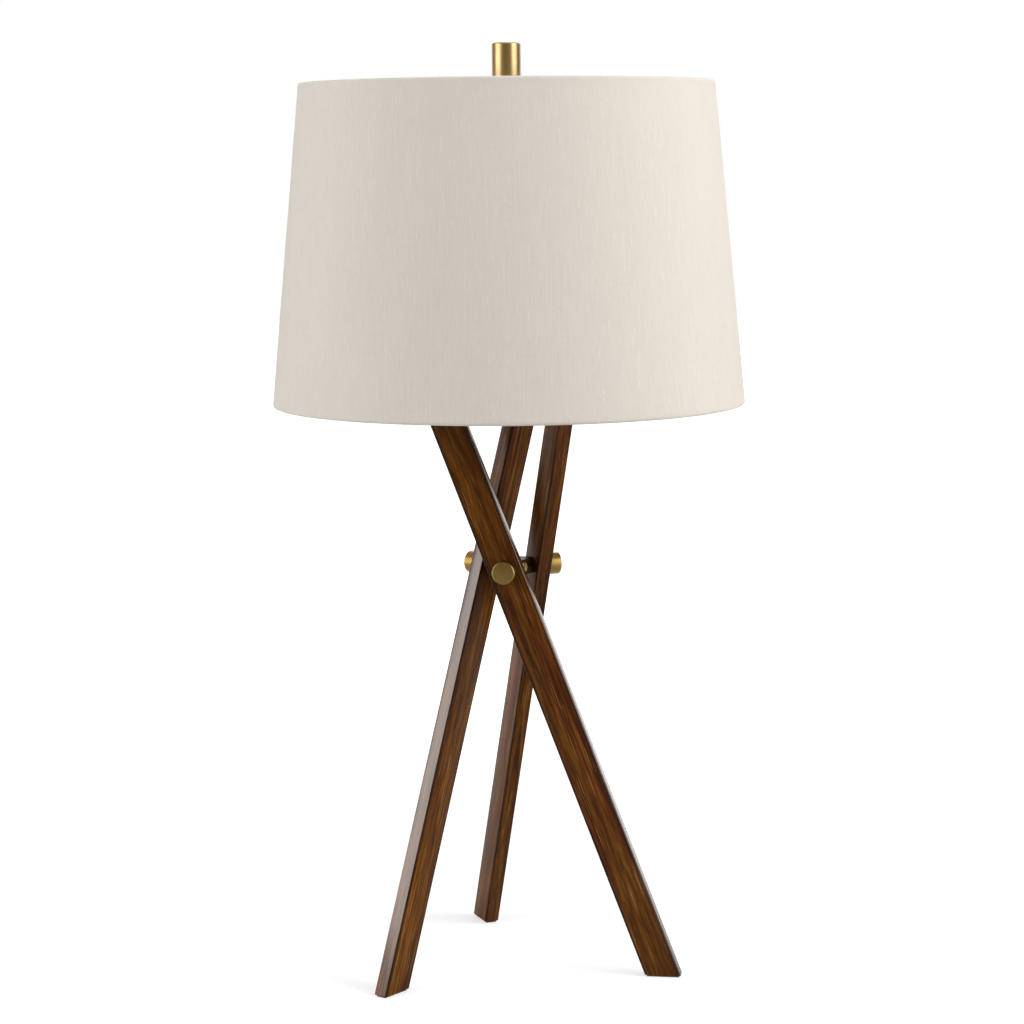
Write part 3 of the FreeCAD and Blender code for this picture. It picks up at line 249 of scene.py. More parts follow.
def walnut(name, depth, lacquer, cornered):
    """Dark stained walnut. The attribute grain holds metres through, across and along the timber,
    and board moves the figure on, so that no two pieces are alike. Where the timber is cornered,
    the stain gathers at its corners, and the narrow face that lay upwards when it was sprayed
    carries the most lacquer."""
    thin = 0.07 * lacquer
    finish = Finish(
        name, Coat_Roughness=0.2, Coat_IOR=1.8, Coat_Weight=thin, Specular_IOR_Level=0.06
    )
    timber = finish.attribute("grain")
    board = finish.attribute("board")
    grain = finish.add("VectorMath", {0: timber, 1: board}, operation="ADD").outputs["Vector"]
    drift = finish.noise(grain, (26, 26, 3.5), detail=2.0)
    tint = finish.noise(grain, (60, 60, 7), (4, 2, 6))
    figure = finish.noise(grain, (170, 170, 9), detail=4.0, roughness=0.6, distortion=0.9)
    streak = finish.noise(grain, (430, 430, 26), detail=4.0, roughness=0.6, distortion=0.4)
    fine = finish.noise(grain, (2300, 2300, 60), detail=2.0)
    pores = finish.noise(grain, (1700, 1700, 34), (3, 1, 7), roughness=0.7)
    scratch = finish.noise(grain, (1250, 1250, 20), (9, 4, 2), detail=2.0, roughness=0.5)
    wood = finish.ramp(
        finish.summed((figure, 0.50), (streak, 0.36), (fine, 0.14)),
        (0.36, (0.030, 0.009, 0.001)),
        (0.44, (0.068, 0.021, 0.002)),
        (0.50, (0.108, 0.035, 0.003)),
        (0.56, (0.165, 0.060, 0.005)),
        (0.66, (0.285, 0.130, 0.022)),
    )
    wood = finish.laid_over(wood, (1.10, 0.66, 0.80), tint, 0.42, 0.62, 0.45, "MULTIPLY")
    wood = finish.laid_over(wood, (0.50, 0.42, 0.50), drift, 0.40, 0.68, 0.5, "MULTIPLY")
    pore_mask = finish.between(pores, 0.40, 0.30)
    wood = finish.mixed(finish.math("MULTIPLY", pore_mask, 0.7), wood, (0.008, 0.003, 0.001))
    wood = finish.laid_over(wood, (0.40, 0.21, 0.07), scratch, 0.63, 0.72, 0.6)
    if cornered:
        parts = finish.add("SeparateXYZ", {0: timber}).outputs
        through = finish.math("MULTIPLY", parts[0], 2 / LEG_THICKNESS)
        across = finish.math("MULTIPLY", parts[1], 2 / LEG_WIDTH)
        narrow = finish.math("ABSOLUTE", through)
        wide = finish.math("ABSOLUTE", across)
        corner = finish.math("MINIMUM", narrow, wide)
        wood = finish.laid_over(wood, (0.010, 0.004, 0.002), corner, 0.80, 0.90, 0.8)
        laid_up = finish.between(across, 0.985, 0.998)
        outer_edge = finish.math(
            "MULTIPLY", finish.between(through, 0.6, 0.75), finish.between(across, 0.91, 0.94)
        )
        coats = finish.between(finish.math("MAXIMUM", laid_up, outer_edge), 0.0, 1.0, thin, lacquer)
        finish.feed(finish.shader.inputs["Coat Weight"], coats)
    # depth darkens the whole colour: below 1 it is painted shade, as on the hub, which sits in the
    # legs' shade.
    finish.colour(finish.mixed(1.0, wood, (depth, depth, depth), "MULTIPLY"))
    finish.rough(finish.between(streak, 0.3, 0.7, 0.36, 0.5))
    relief = finish.math("SUBTRACT", finish.math("MULTIPLY", fine, 0.4), pore_mask)
    finish.raised(relief, 0.06 * MM, 0.5)
    return finish.material


def brass(name, colour, dark, lacquer):
    """Lathe-turned brass. The attribute turned holds metres across the lathe's axis and along."""
    finish = Finish(name, Metallic=1.0, Coat_Weight=lacquer, Coat_Roughness=0.28, Coat_IOR=1.75)
    place = finish.attribute("turned")
    x, y, z = finish.add("SeparateXYZ", {0: place}).outputs
    squares = finish.math("ADD", finish.math("POWER", x, 2), finish.math("POWER", y, 2))
    ring = finish.add("CombineXYZ", {0: finish.math("SQRT", squares), 1: z}).outputs[0]
    lines = finish.noise(ring, (5200, 5200, 1), detail=2.0, roughness=0.7)
    cloud = finish.clouded(place, 90, colour, dark)
    finish.rough(finish.between(cloud, 0.3, 0.7, 0.325, 0.365))
    finish.raised(lines, 0.004 * MM, 0.5)
    return finish.material


def metal(name, colour, shade, roughness):
    """Plain metal, with faint clouds and fine scratches, on the object's own coordinates."""
    finish = Finish(name, Metallic=1.0)
    place = finish.object_place()
    finish.clouded(place, 140, colour, shade)
    scratch = finish.noise(place, 900, roughness=0.7)
    finish.rough(finish.between(scratch, 0.3, 0.7, roughness - 0.05, roughness + 0.07))
    finish.raised(scratch, 0.03 * MM, 0.35)
    return finish.material


def coating(name, colour, shade, roughness, grain=1400, depth=0.04 * MM, coat=0.0):
    """Paint, plastic, glass or card: a colour with faint clouds over a fine surface."""
    finish = Finish(name, Coat_Weight=coat)
    place = finish.object_place()
    finish.clouded(place, 160, colour, shade)
    fine = finish.noise(place, grain, roughness=0.6)
    finish.rough(finish.between(fine, 0.3, 0.7, roughness - 0.05, roughness + 0.06))
    finish.raised(fine, depth, 0.4)
    return finish.material


def linen():
    """Undyed linen. The UV map cloth holds metres round the shade and metres up it."""
    finish = Finish(
        "linen", Sheen_Weight=0.25, Sheen_Roughness=0.5, Sheen_Tint=(0.95, 0.92, 0.88, 1)
    )
    place = finish.add("UVMap", uv_map="cloth").outputs["UV"]
    round_it, up_it, _ = finish.add("SeparateXYZ", {0: place}).outputs
    wander = finish.math("MULTIPLY", finish.noise(place, (160, 160, 1), detail=2.0), 0.9 * MM)
    warp, weft = (
        finish.math("SINE", finish.math("MULTIPLY", finish.math("ADD", way, wander), WEAVE))
        for way in (round_it, up_it)
    )
    weave = finish.math("MULTIPLY", warp, weft)
    start = finish.noise(place, (420, 0, 1), (2, 2, 0), detail=2.0, roughness=0.8)
    height = finish.math("ADD", up_it, finish.math("MULTIPLY", start, 0.35))
    thread = finish.add("CombineXYZ", {0: round_it, 1: height}).outputs[0]
    upright = finish.noise(thread, (1300, 46, 1), roughness=0.65)
    level = finish.noise(place, (42, 1500, 1), (5, 3, 0), roughness=0.65, distortion=0.3)
    speck = finish.noise(thread, (900, 500, 1), (1, 9, 0), roughness=0.75)
    slub = finish.noise(thread, (760, 190, 1), (7, 5, 0), detail=2.0, roughness=0.6)
    broad = finish.noise(place, (26, 9, 1), detail=2.0)
    tone = finish.summed((upright, 0.42), (level, 0.18), (speck, 0.40))
    cloth = finish.ramp(
        tone,
        (0.32, (0.576, 0.526, 0.465)),
        (0.46, (0.626, 0.576, 0.513)),
        (0.54, (0.648, 0.598, 0.536)),
        (0.70, (0.690, 0.643, 0.582)),
    )
    cloth = finish.laid_over(cloth, (0.70, 0.65, 0.58), broad, 0.35, 0.7, 0.12)
    cloth = finish.laid_over(cloth, (0.42, 0.36, 0.30), speck, 0.67, 0.76, 0.45)
    cloth = finish.laid_over(cloth, (0.84, 0.80, 0.75), slub, 0.62, 0.69, 0.8)
    cloth = finish.laid_over(cloth, (0.42, 0.36, 0.30), slub, 0.36, 0.30, 0.6)
    cloth = finish.laid_over(cloth, (0.42, 0.37, 0.32), weave, -1.0, 1.0, 0.08)
    finish.colour(cloth)
    finish.rough(0.92)
    under = finish.raised(weave, 0.12 * MM, 0.35)
    thickness = finish.math("ADD", tone, finish.between(slub, 0.6, 0.8, 0.0, 0.5))
    finish.raised(thickness, 0.5 * MM, 0.3, under)
    return finish.material


def felt():
    """Pressed brown felt: a matted surface of fine fibres."""
    finish = Finish("felt", Sheen_Weight=0.5, Sheen_Roughness=0.6)
    fibre = finish.noise(finish.object_place(), 2600, detail=5.0, roughness=0.75, distortion=1.5)
    finish.colour(finish.ramp(fibre, (0.3, (0.035, 0.022, 0.014)), (0.7, (0.13, 0.09, 0.06))))
    finish.rough(0.97)
    finish.raised(fibre, 0.2 * MM, 0.8)
    return finish.material


def frosted():
    """The bulb's white frosted glass, unlit."""
    finish = Finish(
        "frosted_glass", Coat_Weight=0.5, Coat_Roughness=0.12,
        Subsurface_Weight=0.3, Subsurface_Radius=(4 * MM, 4 * MM, 4 * MM),
    )
    place = finish.object_place()
    dust = finish.noise(place, (110, 110, 60))
    fine = finish.noise(place, 3000, detail=2.0)
    finish.colour(finish.ramp(dust, (0.3, (0.80, 0.79, 0.76)), (0.7, (0.90, 0.895, 0.87))))
    finish.rough(finish.between(dust, 0.3, 0.7, 0.3, 0.42))
    finish.raised(fine, 0.02 * MM, 0.3)
    return finish.material


WALNUT = walnut("walnut", 1.0, 1.0, True)
# The hub's walnut: a darker copy of the legs' walnut, with painted shade in its colour.
PAINTED_SHADE_WALNUT = walnut("painted_shade_walnut", 0.35, 0.25, False)
SATIN_BRASS = brass("satin_brass", (0.525, 0.362, 0.145), (0.455, 0.310, 0.115), 0.8)
# A darker copy of the satin brass for the caps, with painted shade in its colour.
PAINTED_SHADE_BRASS = brass("painted_shade_brass", (0.325, 0.212, 0.048), (0.275, 0.176, 0.038), 0.3)
PLATED_BRASS = metal("plated_brass", (0.72, 0.55, 0.27), (0.62, 0.46, 0.22), 0.2)
CONTACT_BRASS = metal("contact_brass", (0.70, 0.53, 0.25), (0.52, 0.38, 0.18), 0.33)
ZINC_STEEL = metal("zinc_steel", (0.60, 0.60, 0.58), (0.47, 0.47, 0.46), 0.34)
BULB_METAL = metal("bulb_metal", (0.78, 0.78, 0.77), (0.66, 0.66, 0.65), 0.22)
DARK_PAINT = coating(
    "dark_paint", (0.030, 0.017, 0.011), (0.045, 0.026, 0.016), 0.42, grain=2200, depth=0.06 * MM
)
BLACK_PLASTIC = coating(
    "black_plastic", (0.016, 0.015, 0.015), (0.026, 0.025, 0.024), 0.38, grain=2600
)
FIBRE_CARD = coating(
    "fibre_card", (0.30, 0.22, 0.13), (0.38, 0.29, 0.18), 0.85, grain=3200, depth=0.15 * MM
)
BLACK_GLASS = coating(
    "black_glass", (0.010, 0.010, 0.011), (0.016, 0.016, 0.017), 0.12, coat=0.6
)
WHITE_BACKING = coating(
    "white_backing", (0.80, 0.79, 0.76), (0.76, 0.75, 0.72), 0.38, grain=900, depth=0.08 * MM
)
WHITE_WIRE = coating("white_wire", (0.76, 0.75, 0.71), (0.70, 0.69, 0.65), 0.4, grain=2400)
FROSTED = frosted()
LINEN = linen()
FELT = felt()

# The finish for each slot of the record.
FINISHES = {
    "walnut": WALNUT,
    "satin_brass": SATIN_BRASS,
    "plated_brass": PLATED_BRASS,
    "contact_brass": CONTACT_BRASS,
    "zinc_steel": ZINC_STEEL,
    "dark_paint": DARK_PAINT,
    "black_plastic": BLACK_PLASTIC,
    "fibre_card": FIBRE_CARD,
    "bulb_metal": BULB_METAL,
    "black_glass": BLACK_GLASS,
    "frosted_glass": FROSTED,
    "linen": LINEN,
    "white_backing": WHITE_BACKING,
    "white_wire": WHITE_WIRE,
    "felt": FELT,
}


# ---- working on a mesh ----

def object_mode():
    if bpy.context.object and bpy.context.object.mode != "OBJECT":
        bpy.ops.object.mode_set(mode="OBJECT")


def only(*pieces):
    """Selects these pieces and nothing else."""
    object_mode()
    for other in bpy.context.selected_objects:
        other.select_set(False)
    for piece in pieces:
        piece.select_set(True)
    if pieces:
        bpy.context.view_layer.objects.active = pieces[0]


def started(name):
    """The primitive just added, under its own name."""
    piece = bpy.context.object
    piece.name = name
    piece.data.name = name
    return piece


def settle(piece, place=None):
    """Puts a piece's place into its mesh, so that the object sits at the origin."""
    only(piece)
    if place is not None:
        piece.matrix_world = place
    bpy.ops.object.transform_apply(location=True, rotation=True, scale=True)
    return piece


def block(name, *size):
    """A sharp-edged block round the origin."""
    only()
    bpy.ops.mesh.primitive_cube_add(size=1)
    piece = started(name)
    piece.scale = size
    return settle(piece)


def everything(item):
    return True


def pick(piece, kind, wanted=everything):
    """Goes into edit mode with just the wanted verts, edges or faces selected."""
    only(piece)
    bpy.ops.object.mode_set(mode="EDIT")
    bpy.ops.mesh.select_mode(type=kind)
    bpy.ops.mesh.select_all(action="DESELECT")
    mesh = bmesh.from_edit_mesh(piece.data)
    for item in {"VERT": mesh.verts, "EDGE": mesh.edges, "FACE": mesh.faces}[kind]:
        if wanted(item):
            item.select_set(True)
    mesh.select_flush_mode()
    bmesh.update_edit_mesh(piece.data)


def ease_edges(piece, width, segments=3, wanted=everything):
    """Rounds the wanted edges."""
    pick(piece, "EDGE", wanted)
    bpy.ops.mesh.bevel(offset=width, segments=segments, affect="EDGES", clamp_overlap=True)
    object_mode()


def saw(piece, through, square_to, **cleared):
    """Saws a piece flat through a point. The sides named in cleared fall away."""
    pick(piece, "FACE")
    bpy.ops.mesh.bisect(plane_co=through, plane_no=square_to, use_fill=True, **cleared)
    object_mode()


def tidy(piece, angle):
    """Closes seams and poles, turns every face outwards and shades smooth up to the angle."""
    pick(piece, "VERT")
    bpy.ops.mesh.remove_doubles(threshold=WELD)
    bpy.ops.mesh.normals_make_consistent(inside=False)
    object_mode()
    only(piece)
    bpy.ops.object.shade_smooth_by_angle(angle=math.radians(angle))


def remember(piece, name, measured):
    """Keeps a vector for each point of the mesh, for a finish to read."""
    kept = piece.data.attributes.new(name, "FLOAT_VECTOR", "POINT")
    for number, point in enumerate(piece.data.vertices):
        kept.data[number].vector = measured(point.co)


def dress(piece, finish, slot, body, *nodes):
    """Gives a piece its finish, its body and the CAD nodes that it stands for."""
    piece.data.materials.clear()
    piece.data.materials.append(finish)
    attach(piece, body)
    if nodes:
        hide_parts(*nodes)
    return piece


def drawn(name, points):
    """A line through (radius, height) points, drawn by extruding one vertex."""
    only()
    bpy.ops.mesh.primitive_plane_add(size=MM, location=(0, 0, 0))
    piece = started(name)
    pick(piece, "VERT")
    bpy.ops.mesh.merge(type="CENTER")
    radius, height = points[0]
    bpy.ops.transform.translate(value=(radius, 0, height))
    for here, there in zip(points, points[1:]):
        step = (there[0] - here[0], 0, there[1] - here[1])
        bpy.ops.mesh.extrude_vertices_move(TRANSFORM_OT_translate={"value": step})
    object_mode()
    return piece


def lathe(name, points, steps=96, rounded=(), place=None, angle=40):
    """Turns a profile about the Z axis. rounded lists (point number, radius) pairs of its 45 degree
    corners, which a bevel rounds when it reaches 0.4142 times the radius."""
    piece = drawn(name, points)
    for number, radius in rounded:
        r, h = points[number]
        pick(piece, "VERT", lambda vert: (vert.co - Vector((r, 0, h))).length < NEAR)
        bpy.ops.mesh.bevel(offset=radius * 0.4142, segments=4, affect="VERTICES")
        object_mode()
    pick(piece, "VERT")
    bpy.ops.mesh.spin(steps=steps, angle=math.tau, center=(0, 0, 0), axis=(0, 0, 1))
    object_mode()
    tidy(piece, angle)
    remember(piece, "turned", lambda point: point)
    return settle(piece, place)


def arc(centre, radius, start, end, count):
    """Points round an arc in the profile's plane, from one angle to the other, in degrees."""
    turns = [math.radians(start + (end - start) * i / count) for i in range(count + 1)]
    return [(centre[0] + radius * math.cos(a), centre[1] + radius * math.sin(a)) for a in turns]


def turned_to(side, outward, height):
    """A place on a leg's own axes: X points outwards and Y round, anticlockwise from above."""
    turn = Matrix.Rotation(LEG_TURNS[side], 4, "Z")
    return turn @ Matrix.Translation((outward, 0, height))


# ---- the stand ----

def lengthwise(edge):
    return abs((edge.verts[1].co - edge.verts[0].co).normalized().z) > 0.9


def make_leg(side):
    """A long beam with eased edges, leant over, then cut level at both ends."""
    leg = block("timber_" + side, LEG_THICKNESS, LEG_WIDTH, TIMBER_LENGTH)
    ease_edges(leg, LEG_EDGE, 4, lengthwise)
    place = turned_to(side, LEG_MIDDLE, CROSSING) @ Matrix.Rotation(LEG_LEAN, 4, "X")
    settle(leg, place)
    for height, top in ((PAD_THICKNESS, False), (LEG_TOP, True)):
        def in_cut(edge):
            return all(abs(vert.co.z - height) < NEAR for vert in edge.verts)
        saw(leg, (0, 0, height), (0, 0, 1), clear_inner=not top, clear_outer=top)
        ease_edges(leg, LEG_END_EDGE, 2, in_cut)
    tidy(leg, 30)
    back = place.inverted()
    board = LEG_BOARDS[side]
    remember(leg, "grain", lambda point: back @ point)
    remember(leg, "board", lambda point: Vector((board, board * 0.4, board * 2)))
    dress(leg, WALNUT, "walnut", "stand", "leg_" + side)


def make_foot_pad(side):
    """Felt glued under a foot, with soft rounded edges."""
    length = LEG_WIDTH / math.cos(LEG_LEAN) - 2 * PAD_INSET
    pad = block("felt_" + side, LEG_THICKNESS - 2 * PAD_INSET, length, PAD_THICKNESS)
    ease_edges(pad, PAD_EDGE)
    reach = (CROSSING - PAD_THICKNESS) * math.tan(LEG_LEAN)
    middle = turned_to(side, LEG_MIDDLE, PAD_THICKNESS / 2)
    settle(pad, middle @ Matrix.Translation((0, reach, 0)))
    tidy(pad, 60)
    dress(pad, FELT, "felt", "stand", "foot_pad_" + side)


def make_hub():
    """A three-sided block with its points sawn off, one long side to each leg."""
    only()
    bpy.ops.mesh.primitive_cylinder_add(vertices=3, radius=2 * LEG_INNER, depth=HUB_HEIGHT)
    hub = settle(started("hub_block"))
    points = sorted({round(math.atan2(v.co.y, v.co.x), 3) for v in hub.data.vertices})
    for point in points:
        way = Vector((math.cos(point), math.sin(point), 0))
        saw(hub, way * HUB_CORNER, way, clear_outer=True)
    ease_edges(hub, HUB_EDGE)
    turn = LEG_TURNS["front"] - points[0] + math.pi
    place = Matrix.Translation((0, 0, CROSSING)) @ Matrix.Rotation(turn, 4, "Z")
    remember(hub, "grain", lambda point: Vector((point.y, point.z, point.x)))
    remember(hub, "board", lambda point: Vector((3, 2, 1)))
    settle(hub, place)
    tidy(hub, 30)
    # The hub takes the darker copy of the walnut, whose colour holds painted shade.
    dress(hub, PAINTED_SHADE_WALNUT, "walnut", "stand", "crossing_hub")


def make_cap(side):
    """A turned brass cap, with a crisp chamfer round its flat face."""
    cap = lathe(
        "cap_" + side,
        [
            (0, 0),
            (CAP_RADIUS - CAP_BACK_CHAMFER, 0),
            (CAP_RADIUS, CAP_BACK_CHAMFER),
            (CAP_RADIUS, CAP_LENGTH - CAP_CHAMFER),
            (CAP_RADIUS - CAP_CHAMFER, CAP_LENGTH),
            (0, CAP_LENGTH),
        ],
        rounded=((3, 0.5 * MM), (4, 0.5 * MM)),
        place=turned_to(side, LEG_OUTER, CROSSING) @ Matrix.Rotation(math.pi / 2, 4, "Y"),
    )
    # The caps take the darker copy of the brass, whose colour holds painted shade.
    dress(cap, PAINTED_SHADE_BRASS, "satin_brass", "stand", "cross_cap_" + side)


def make_finial():
    """A plain brass cylinder with its edges just broken."""
    finial = lathe(
        "finial_cylinder",
        [
            (0, FINIAL_BOTTOM),
            (FINIAL_RADIUS - FINIAL_CHAMFER, FINIAL_BOTTOM),
            (FINIAL_RADIUS, FINIAL_BOTTOM + FINIAL_CHAMFER),
            (FINIAL_RADIUS, FINIAL_TOP - FINIAL_CHAMFER),
            (FINIAL_RADIUS - FINIAL_CHAMFER, FINIAL_TOP),
            (0, FINIAL_TOP),
        ],
        steps=128,
        rounded=((1, 0.5 * MM), (2, 0.5 * MM), (3, 0.6 * MM), (4, 0.6 * MM)),
    )
    dress(finial, SATIN_BRASS, "satin_brass", "finial", "finial")


# ---- the shade ----

def shade_radius(height):
    return SHADE_BOTTOM_RADIUS - SHADE_SLOPE * (height - SHADE_BOTTOM)


def waviness(turn, size, height):
    """Smooth noise round the shade, with no step where the turn closes."""
    return noise.noise(Vector((math.cos(turn) * size, math.sin(turn) * size, height)))


def make_cover():
    """One piece of linen, stretched round the stiff backing and lapped at the back."""
    only()
    bpy.ops.mesh.primitive_grid_add(x_subdivisions=300, y_subdivisions=36, size=1)
    cover = started("linen_cover")
    low, high = SHADE_BOTTOM + COVER_MARGIN, SHADE_TOP - COVER_MARGIN
    lap = SEAM_LAP / CLOTH_RADIUS
    length = math.tau + lap
    for point in cover.data.vertices:
        along, up = point.co.x + 0.5, point.co.y + 0.5
        turn = math.pi / 2 - lap / 2 + along * length
        height = low + up * (high - low)
        below_trim = min(up, 1 - up) * (high - low) - (TRIM_HEIGHT - COVER_MARGIN)
        loose = min(1.0, max(0.0, below_trim / COVER_WAVE_GROWTH))
        lift = SEAM_LIFT * max(0.0, 1 - (1 - along) * length / lap)
        wave = COVER_WAVE * waviness(turn, 5, height * 30)
        radius = shade_radius(height) + loose * (COVER_EASE + wave + lift)
        point.co = (radius * math.cos(turn), radius * math.sin(turn), height)
    cloth = cover.data.uv_layers[0]
    cloth.name = "cloth"
    for spot in cloth.data:
        spot.uv = (spot.uv[0] * length * CLOTH_RADIUS, spot.uv[1] * (high - low))
    thicken = cover.modifiers.new("thickness", "SOLIDIFY")
    thicken.thickness = COVER_THICKNESS
    thicken.offset = -1
    only(cover)
    bpy.ops.object.modifier_apply(modifier="thickness")
    bpy.ops.object.shade_smooth_by_angle(angle=math.radians(50))
    return dress(cover, LINEN, "linen", "shade", "shade_cover")


def rolled(centre, radius, way, count):
    """Half a round with tightened corners, as cloth pulled over a wire takes."""
    return [
        (
            centre[0] + radius * math.copysign(abs(r) ** 0.6, r),
            centre[1] + radius * math.copysign(abs(h) ** 0.6, h),
        )
        for r, h in arc((0, 0), 1, 0, 180 * way, count)
    ]


def map_trim(trim):
    """Gives the trim the cover's kind of UV map, with no jump inside any face."""
    cloth = trim.data.uv_layers.new(name="cloth")
    for face in trim.data.polygons:
        middle = math.atan2(face.center.y, face.center.x)
        for corner in face.loop_indices:
            point = trim.data.vertices[trim.data.loops[corner].vertex_index].co
            turn = math.remainder(math.atan2(point.y, point.x) - middle, math.tau)
            up = point.z + point.xy.length * 0.6
            cloth.data[corner].uv = ((middle + turn) * CLOTH_RADIUS, up)


def make_trim(name, node, top):
    """The linen rolled over a wire ring: out, round the rim, and in again."""
    way = 1 if top else -1
    rim = SHADE_TOP if top else SHADE_BOTTOM
    edge = rim - way * TRIM_HEIGHT
    middle = rim - way * TRIM_WIDTH / 2
    centre = shade_radius(middle) - TRIM_WIDTH / 2 + TRIM_PROUD / 2
    outer = TRIM_WIDTH / 2 + TRIM_PROUD / 2
    slant = SHADE_SLOPE * (middle - edge)
    over = [
        (r, min(max(h, SHADE_BOTTOM), SHADE_TOP))
        for r, h in rolled((centre, middle), outer, way, 14)
    ]
    under = reversed(rolled((centre, middle), outer - TRIM_SKIN, way, 10))
    points = [
        (centre + outer + slant, edge),
        *over,
        (centre - outer + slant, edge),
        (centre - outer + slant + TRIM_SKIN, edge),
        *under,
        (centre + outer + slant - TRIM_SKIN, edge),
        (centre + outer + slant, edge),
    ]
    trim = lathe(name, points, steps=256, angle=70)
    for point in trim.data.vertices:
        x, y, z = point.co
        wave = waviness(math.atan2(y, x), 16, 7 if top else 2)
        share = 1 + TRIM_WAVE * wave / shade_radius(middle)
        lift = TRIM_EDGE_WAVE * wave if abs(z - edge) < 0.01 * MM else 0
        point.co = (x * share, y * share, z + lift)
    map_trim(trim)
    return dress(trim, LINEN, "linen", "shade", node)


# ---- the bulb and lampholder ----

def make_bulb():
    """The white globe: one smooth line from its neck to its top, closed flat inside the base."""
    widening = GLOBE_RADIUS - GLASS_NECK
    rise = GLOBE_HEIGHT - SWELL_START
    bend = (rise ** 2 - GLOBE_RADIUS ** 2 + GLASS_NECK ** 2) / 2 / widening
    lean = math.degrees(math.atan2(rise, GLASS_NECK + bend))
    foot = BASE_TOP - GLASS_IN_BASE
    globe = lathe(
        "bulb_globe",
        [
            (0, foot),
            (GLASS_NECK, foot),
            *arc((GLASS_NECK + bend, SWELL_START), bend, 180, 180 - lean, 14),
            *arc((0, GLOBE_HEIGHT), GLOBE_RADIUS, -lean, 90, 26)[1:-1],
            (0, GLOBE_HEIGHT + GLOBE_RADIUS),
        ],
        angle=60,
    )
    dress(globe, FROSTED, "frosted_glass", "bulb", "bulb_glass")


def make_bulb_base():
    """The bulb's screw base: a rolled thread between a plain collar and a tapered foot."""
    half = THREAD_DEPTH / 2
    crest = BASE_RADIUS - half - 0.02 * MM
    turn = [i / 12 for i in range(13)]
    thread = drawn(
        "bulb_base_thread",
        [(crest + half * math.cos(math.tau * t), THREAD_START + THREAD_PITCH * t) for t in turn],
    )
    wind = thread.modifiers.new("thread", "SCREW")
    wind.angle = math.tau
    wind.screw_offset = THREAD_PITCH
    wind.iterations = THREAD_TURNS
    wind.steps = wind.render_steps = 60
    wind.use_merge_vertices = True
    wind.merge_threshold = WELD
    only(thread)
    bpy.ops.object.modifier_apply(modifier="thread")
    collar = lathe(
        "bulb_base_collar",
        [
            (COLLAR_INNER, COLLAR_BOTTOM),
            (COLLAR_OUTER, COLLAR_BOTTOM),
            (COLLAR_OUTER, BASE_TOP - COLLAR_CHAMFER),
            (GLASS_NECK + 0.2 * MM, BASE_TOP),
            (COLLAR_INNER, BASE_TOP),
            (COLLAR_INNER, COLLAR_BOTTOM),
        ],
        steps=72,
    )
    foot = lathe(
        "bulb_base_foot",
        [
            (0, BASE_BOTTOM),
            (FOOT_TIP_RADIUS, BASE_BOTTOM),
            (FOOT_SHOULDER_RADIUS, FOOT_SHOULDER),
            (FOOT_TOP_RADIUS, FOOT_TOP),
            (0, FOOT_TOP),
        ],
        steps=72,
    )
    only(thread, collar, foot)
    bpy.ops.object.join()
    base = bpy.context.object
    base.name = "bulb_base_shell"
    tidy(base, 50)
    dress(base, BULB_METAL, "bulb_metal", "bulb", "bulb_base")


def make_socket_shell():
    """The lampholder's shell, with its pressed beads and rolled mouth."""
    bore = SHELL_RADIUS - SHELL_WALL
    profile = [(bore, SHELL_BOTTOM), (SHELL_RADIUS, SHELL_BOTTOM)]
    for bead in SHELL_BEADS:
        profile.append((SHELL_RADIUS, bead))
        profile += arc((SHELL_RADIUS, bead + BEAD_RADIUS), BEAD_RADIUS, -90, 90, 8)[1:]
    profile += [
        (SHELL_RADIUS, SHELL_TOP - 2.4 * MM),
        (SHELL_RADIUS + BEAD_RADIUS, SHELL_TOP - 1.6 * MM),
        (SHELL_RADIUS + BEAD_RADIUS, SHELL_TOP - 0.7 * MM),
        (SHELL_RADIUS + 0.2 * MM, SHELL_TOP),
        (bore, SHELL_TOP),
        (bore, SHELL_BOTTOM),
    ]
    shell = lathe("lampholder_shell", profile)
    dress(shell, PLATED_BRASS, "plated_brass", "stand", "socket_shell")


# ---- the camera, the light and the floor ----

# What was fitted to the photo: pixels for the picture, and degrees and metres for the camera.
PICTURE_SIDE, PICTURE_MIDDLE, FOCAL_PIXELS = 1024, 509.27, 2688.6
CAMERA_PLACE, CAMERA_DOWN, CAMERA_ROLL = (-0.0006, -2.171, 0.6632), 7.505, -0.48
SENSOR_WIDTH = 36

# Place, aim, width and height in metres, and power in watts.
LIGHTS = {
    "left_window": ((-1.92, -0.72, 0.98), (0, 0, 0.85), 1.6, 2.2, 33),
    "right_window": ((1.88, -0.80, 1.45), (0, 0, 1.2), 1.45, 3.0, 41),
    "high_right": ((1.6, -0.6, 2.3), (0.1, 0, 0.6), 1.0, 1.0, 18),
    "behind": ((0.4, 2.3, 1.7), (0, 0, 0.55), 1.4, 1.4, 16),
    "overhead": ((0, -0.9, 2.4), (0, 0, 0.4), 1.6, 1.2, 8),
}


def make_camera():
    data = bpy.data.cameras.new("camera")
    data.sensor_width = SENSOR_WIDTH
    data.lens = FOCAL_PIXELS / PICTURE_SIDE * SENSOR_WIDTH
    data.shift_x = (PICTURE_SIDE / 2 - PICTURE_MIDDLE) / PICTURE_SIDE
    data.clip_end = 50
    camera = bpy.data.objects.new("camera", data)
    bpy.context.scene.collection.objects.link(camera)
    down = Matrix.Rotation(math.radians(90 - CAMERA_DOWN), 4, "X")
    roll = Matrix.Rotation(math.radians(CAMERA_ROLL), 4, "Z")
    camera.matrix_world = Matrix.Translation(CAMERA_PLACE) @ down @ roll
    bpy.context.scene.camera = camera


def make_light(name, place, aim, width, height, power):
    data = bpy.data.lights.new(name, "AREA")
    data.shape = "RECTANGLE"
    data.size, data.size_y = width, height
    data.energy = power
    light = bpy.data.objects.new(name, data)
    bpy.context.scene.collection.objects.link(light)
    light.location = place
    light.rotation_euler = (Vector(aim) - Vector(place)).to_track_quat("-Z", "Y").to_euler()
    light.visible_camera = False


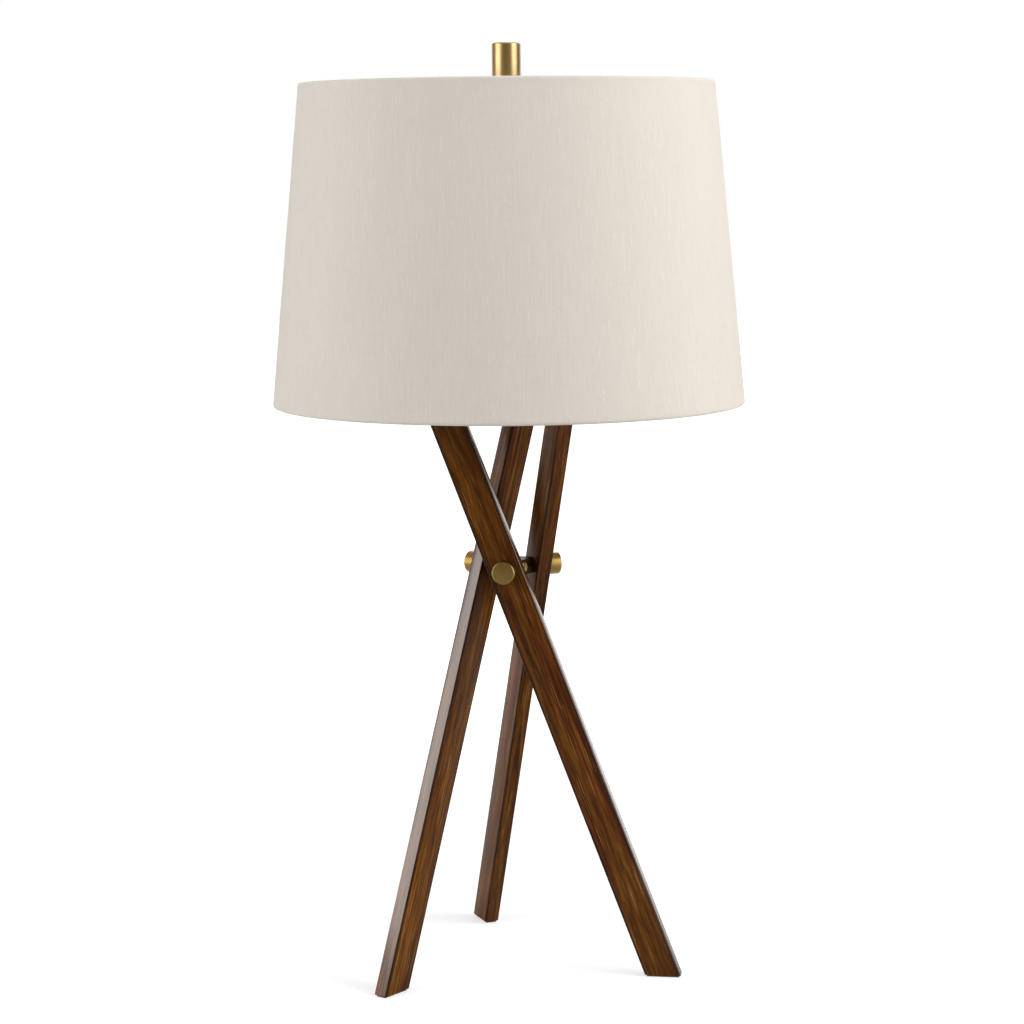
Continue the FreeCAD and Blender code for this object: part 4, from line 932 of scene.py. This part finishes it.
def make_world():
    """A white backdrop for the camera. Reflections see it too behind the lamp, but dark and warm
    elsewhere. All other light comes from a dimmer white room."""
    world = bpy.data.worlds.new("studio")
    bpy.context.scene.world = world
    world.use_nodes = True
    world.node_tree.nodes.clear()
    studio = Nodes(world.node_tree)
    camera_rays, seen = studio.ray_masks()
    way = studio.add("TexCoord").outputs["Generated"]
    behind = studio.between(studio.add("SeparateXYZ", {0: way}).outputs["Y"], 0.55, 0.85)
    level = studio.math("MAXIMUM", camera_rays, behind)
    colour = studio.mixed(level, (0.185, 0.135, 0.065), (1, 1, 1))
    backdrop = studio.add("Background", {"Color": colour}).outputs[0]
    room = studio.add("Background", {"Color": WHITE, "Strength": 0.40}).outputs[0]
    choice = studio.add("MixShader", {0: seen, 1: room, 2: backdrop}).outputs[0]
    studio.add("OutputWorld", {"Surface": choice})


def make_floor():
    """A plain pale floor that reads white but keeps the lamp's soft shadow."""
    only()
    bpy.ops.mesh.primitive_circle_add(vertices=96, radius=9, fill_type="NGON", location=(0, 0, 0))
    floor = started("floor")
    finish = Finish(
        "pale_floor", Roughness=0.9, Specular_IOR_Level=0.1,
        Base_Color=(0.50, 0.50, 0.50, 1), Emission_Color=WHITE,
    )
    camera_rays, seen = finish.ray_masks()
    place = finish.object_place()
    away = finish.add("VectorMath", {0: place}, operation="LENGTH").outputs["Value"]
    glow = finish.between(away, 0.35, 1.4, 0.55, 1.0)
    behind = finish.between(finish.add("SeparateXYZ", {0: place}).outputs["Y"], -0.2, 0.6)
    share = finish.math("MULTIPLY", seen, finish.math("MAXIMUM", camera_rays, behind))
    glow = finish.math("MULTIPLY", glow, share)
    finish.feed(finish.shader.inputs["Emission Strength"], glow)
    floor.data.materials.append(finish.material)


def finish_nodes():
    """Gives every CAD node that still shows its finish. Satin brass reads how a piece lay on the
    lathe, which a CAD node doesn't hold, so a brass node takes the plain contact brass."""
    slots = {row["node"]: row["material_slot"] for row in frame["record"]["subparts"]}
    for name, node in frame["nodes"].items():
        finish = FINISHES[slots[name]]
        if finish is SATIN_BRASS:
            finish = CONTACT_BRASS
        if not node.material_slots:
            node.data.materials.append(finish)
        for slot in node.material_slots:
            slot.material = finish


make_camera()
make_world()
make_floor()
for name, light in LIGHTS.items():
    make_light(name, *light)

finish_nodes()
for side in LEG_TURNS:
    make_leg(side)
    make_foot_pad(side)
    make_cap(side)
make_hub()
make_finial()
cover = make_cover()
top_trim = make_trim("linen_top_trim", "shade_top_trim", True)
bottom_trim = make_trim("linen_bottom_trim", "shade_bottom_trim", False)
make_bulb()
make_bulb_base()
make_socket_shell()

bpy.context.scene.view_settings.view_transform = "Standard"
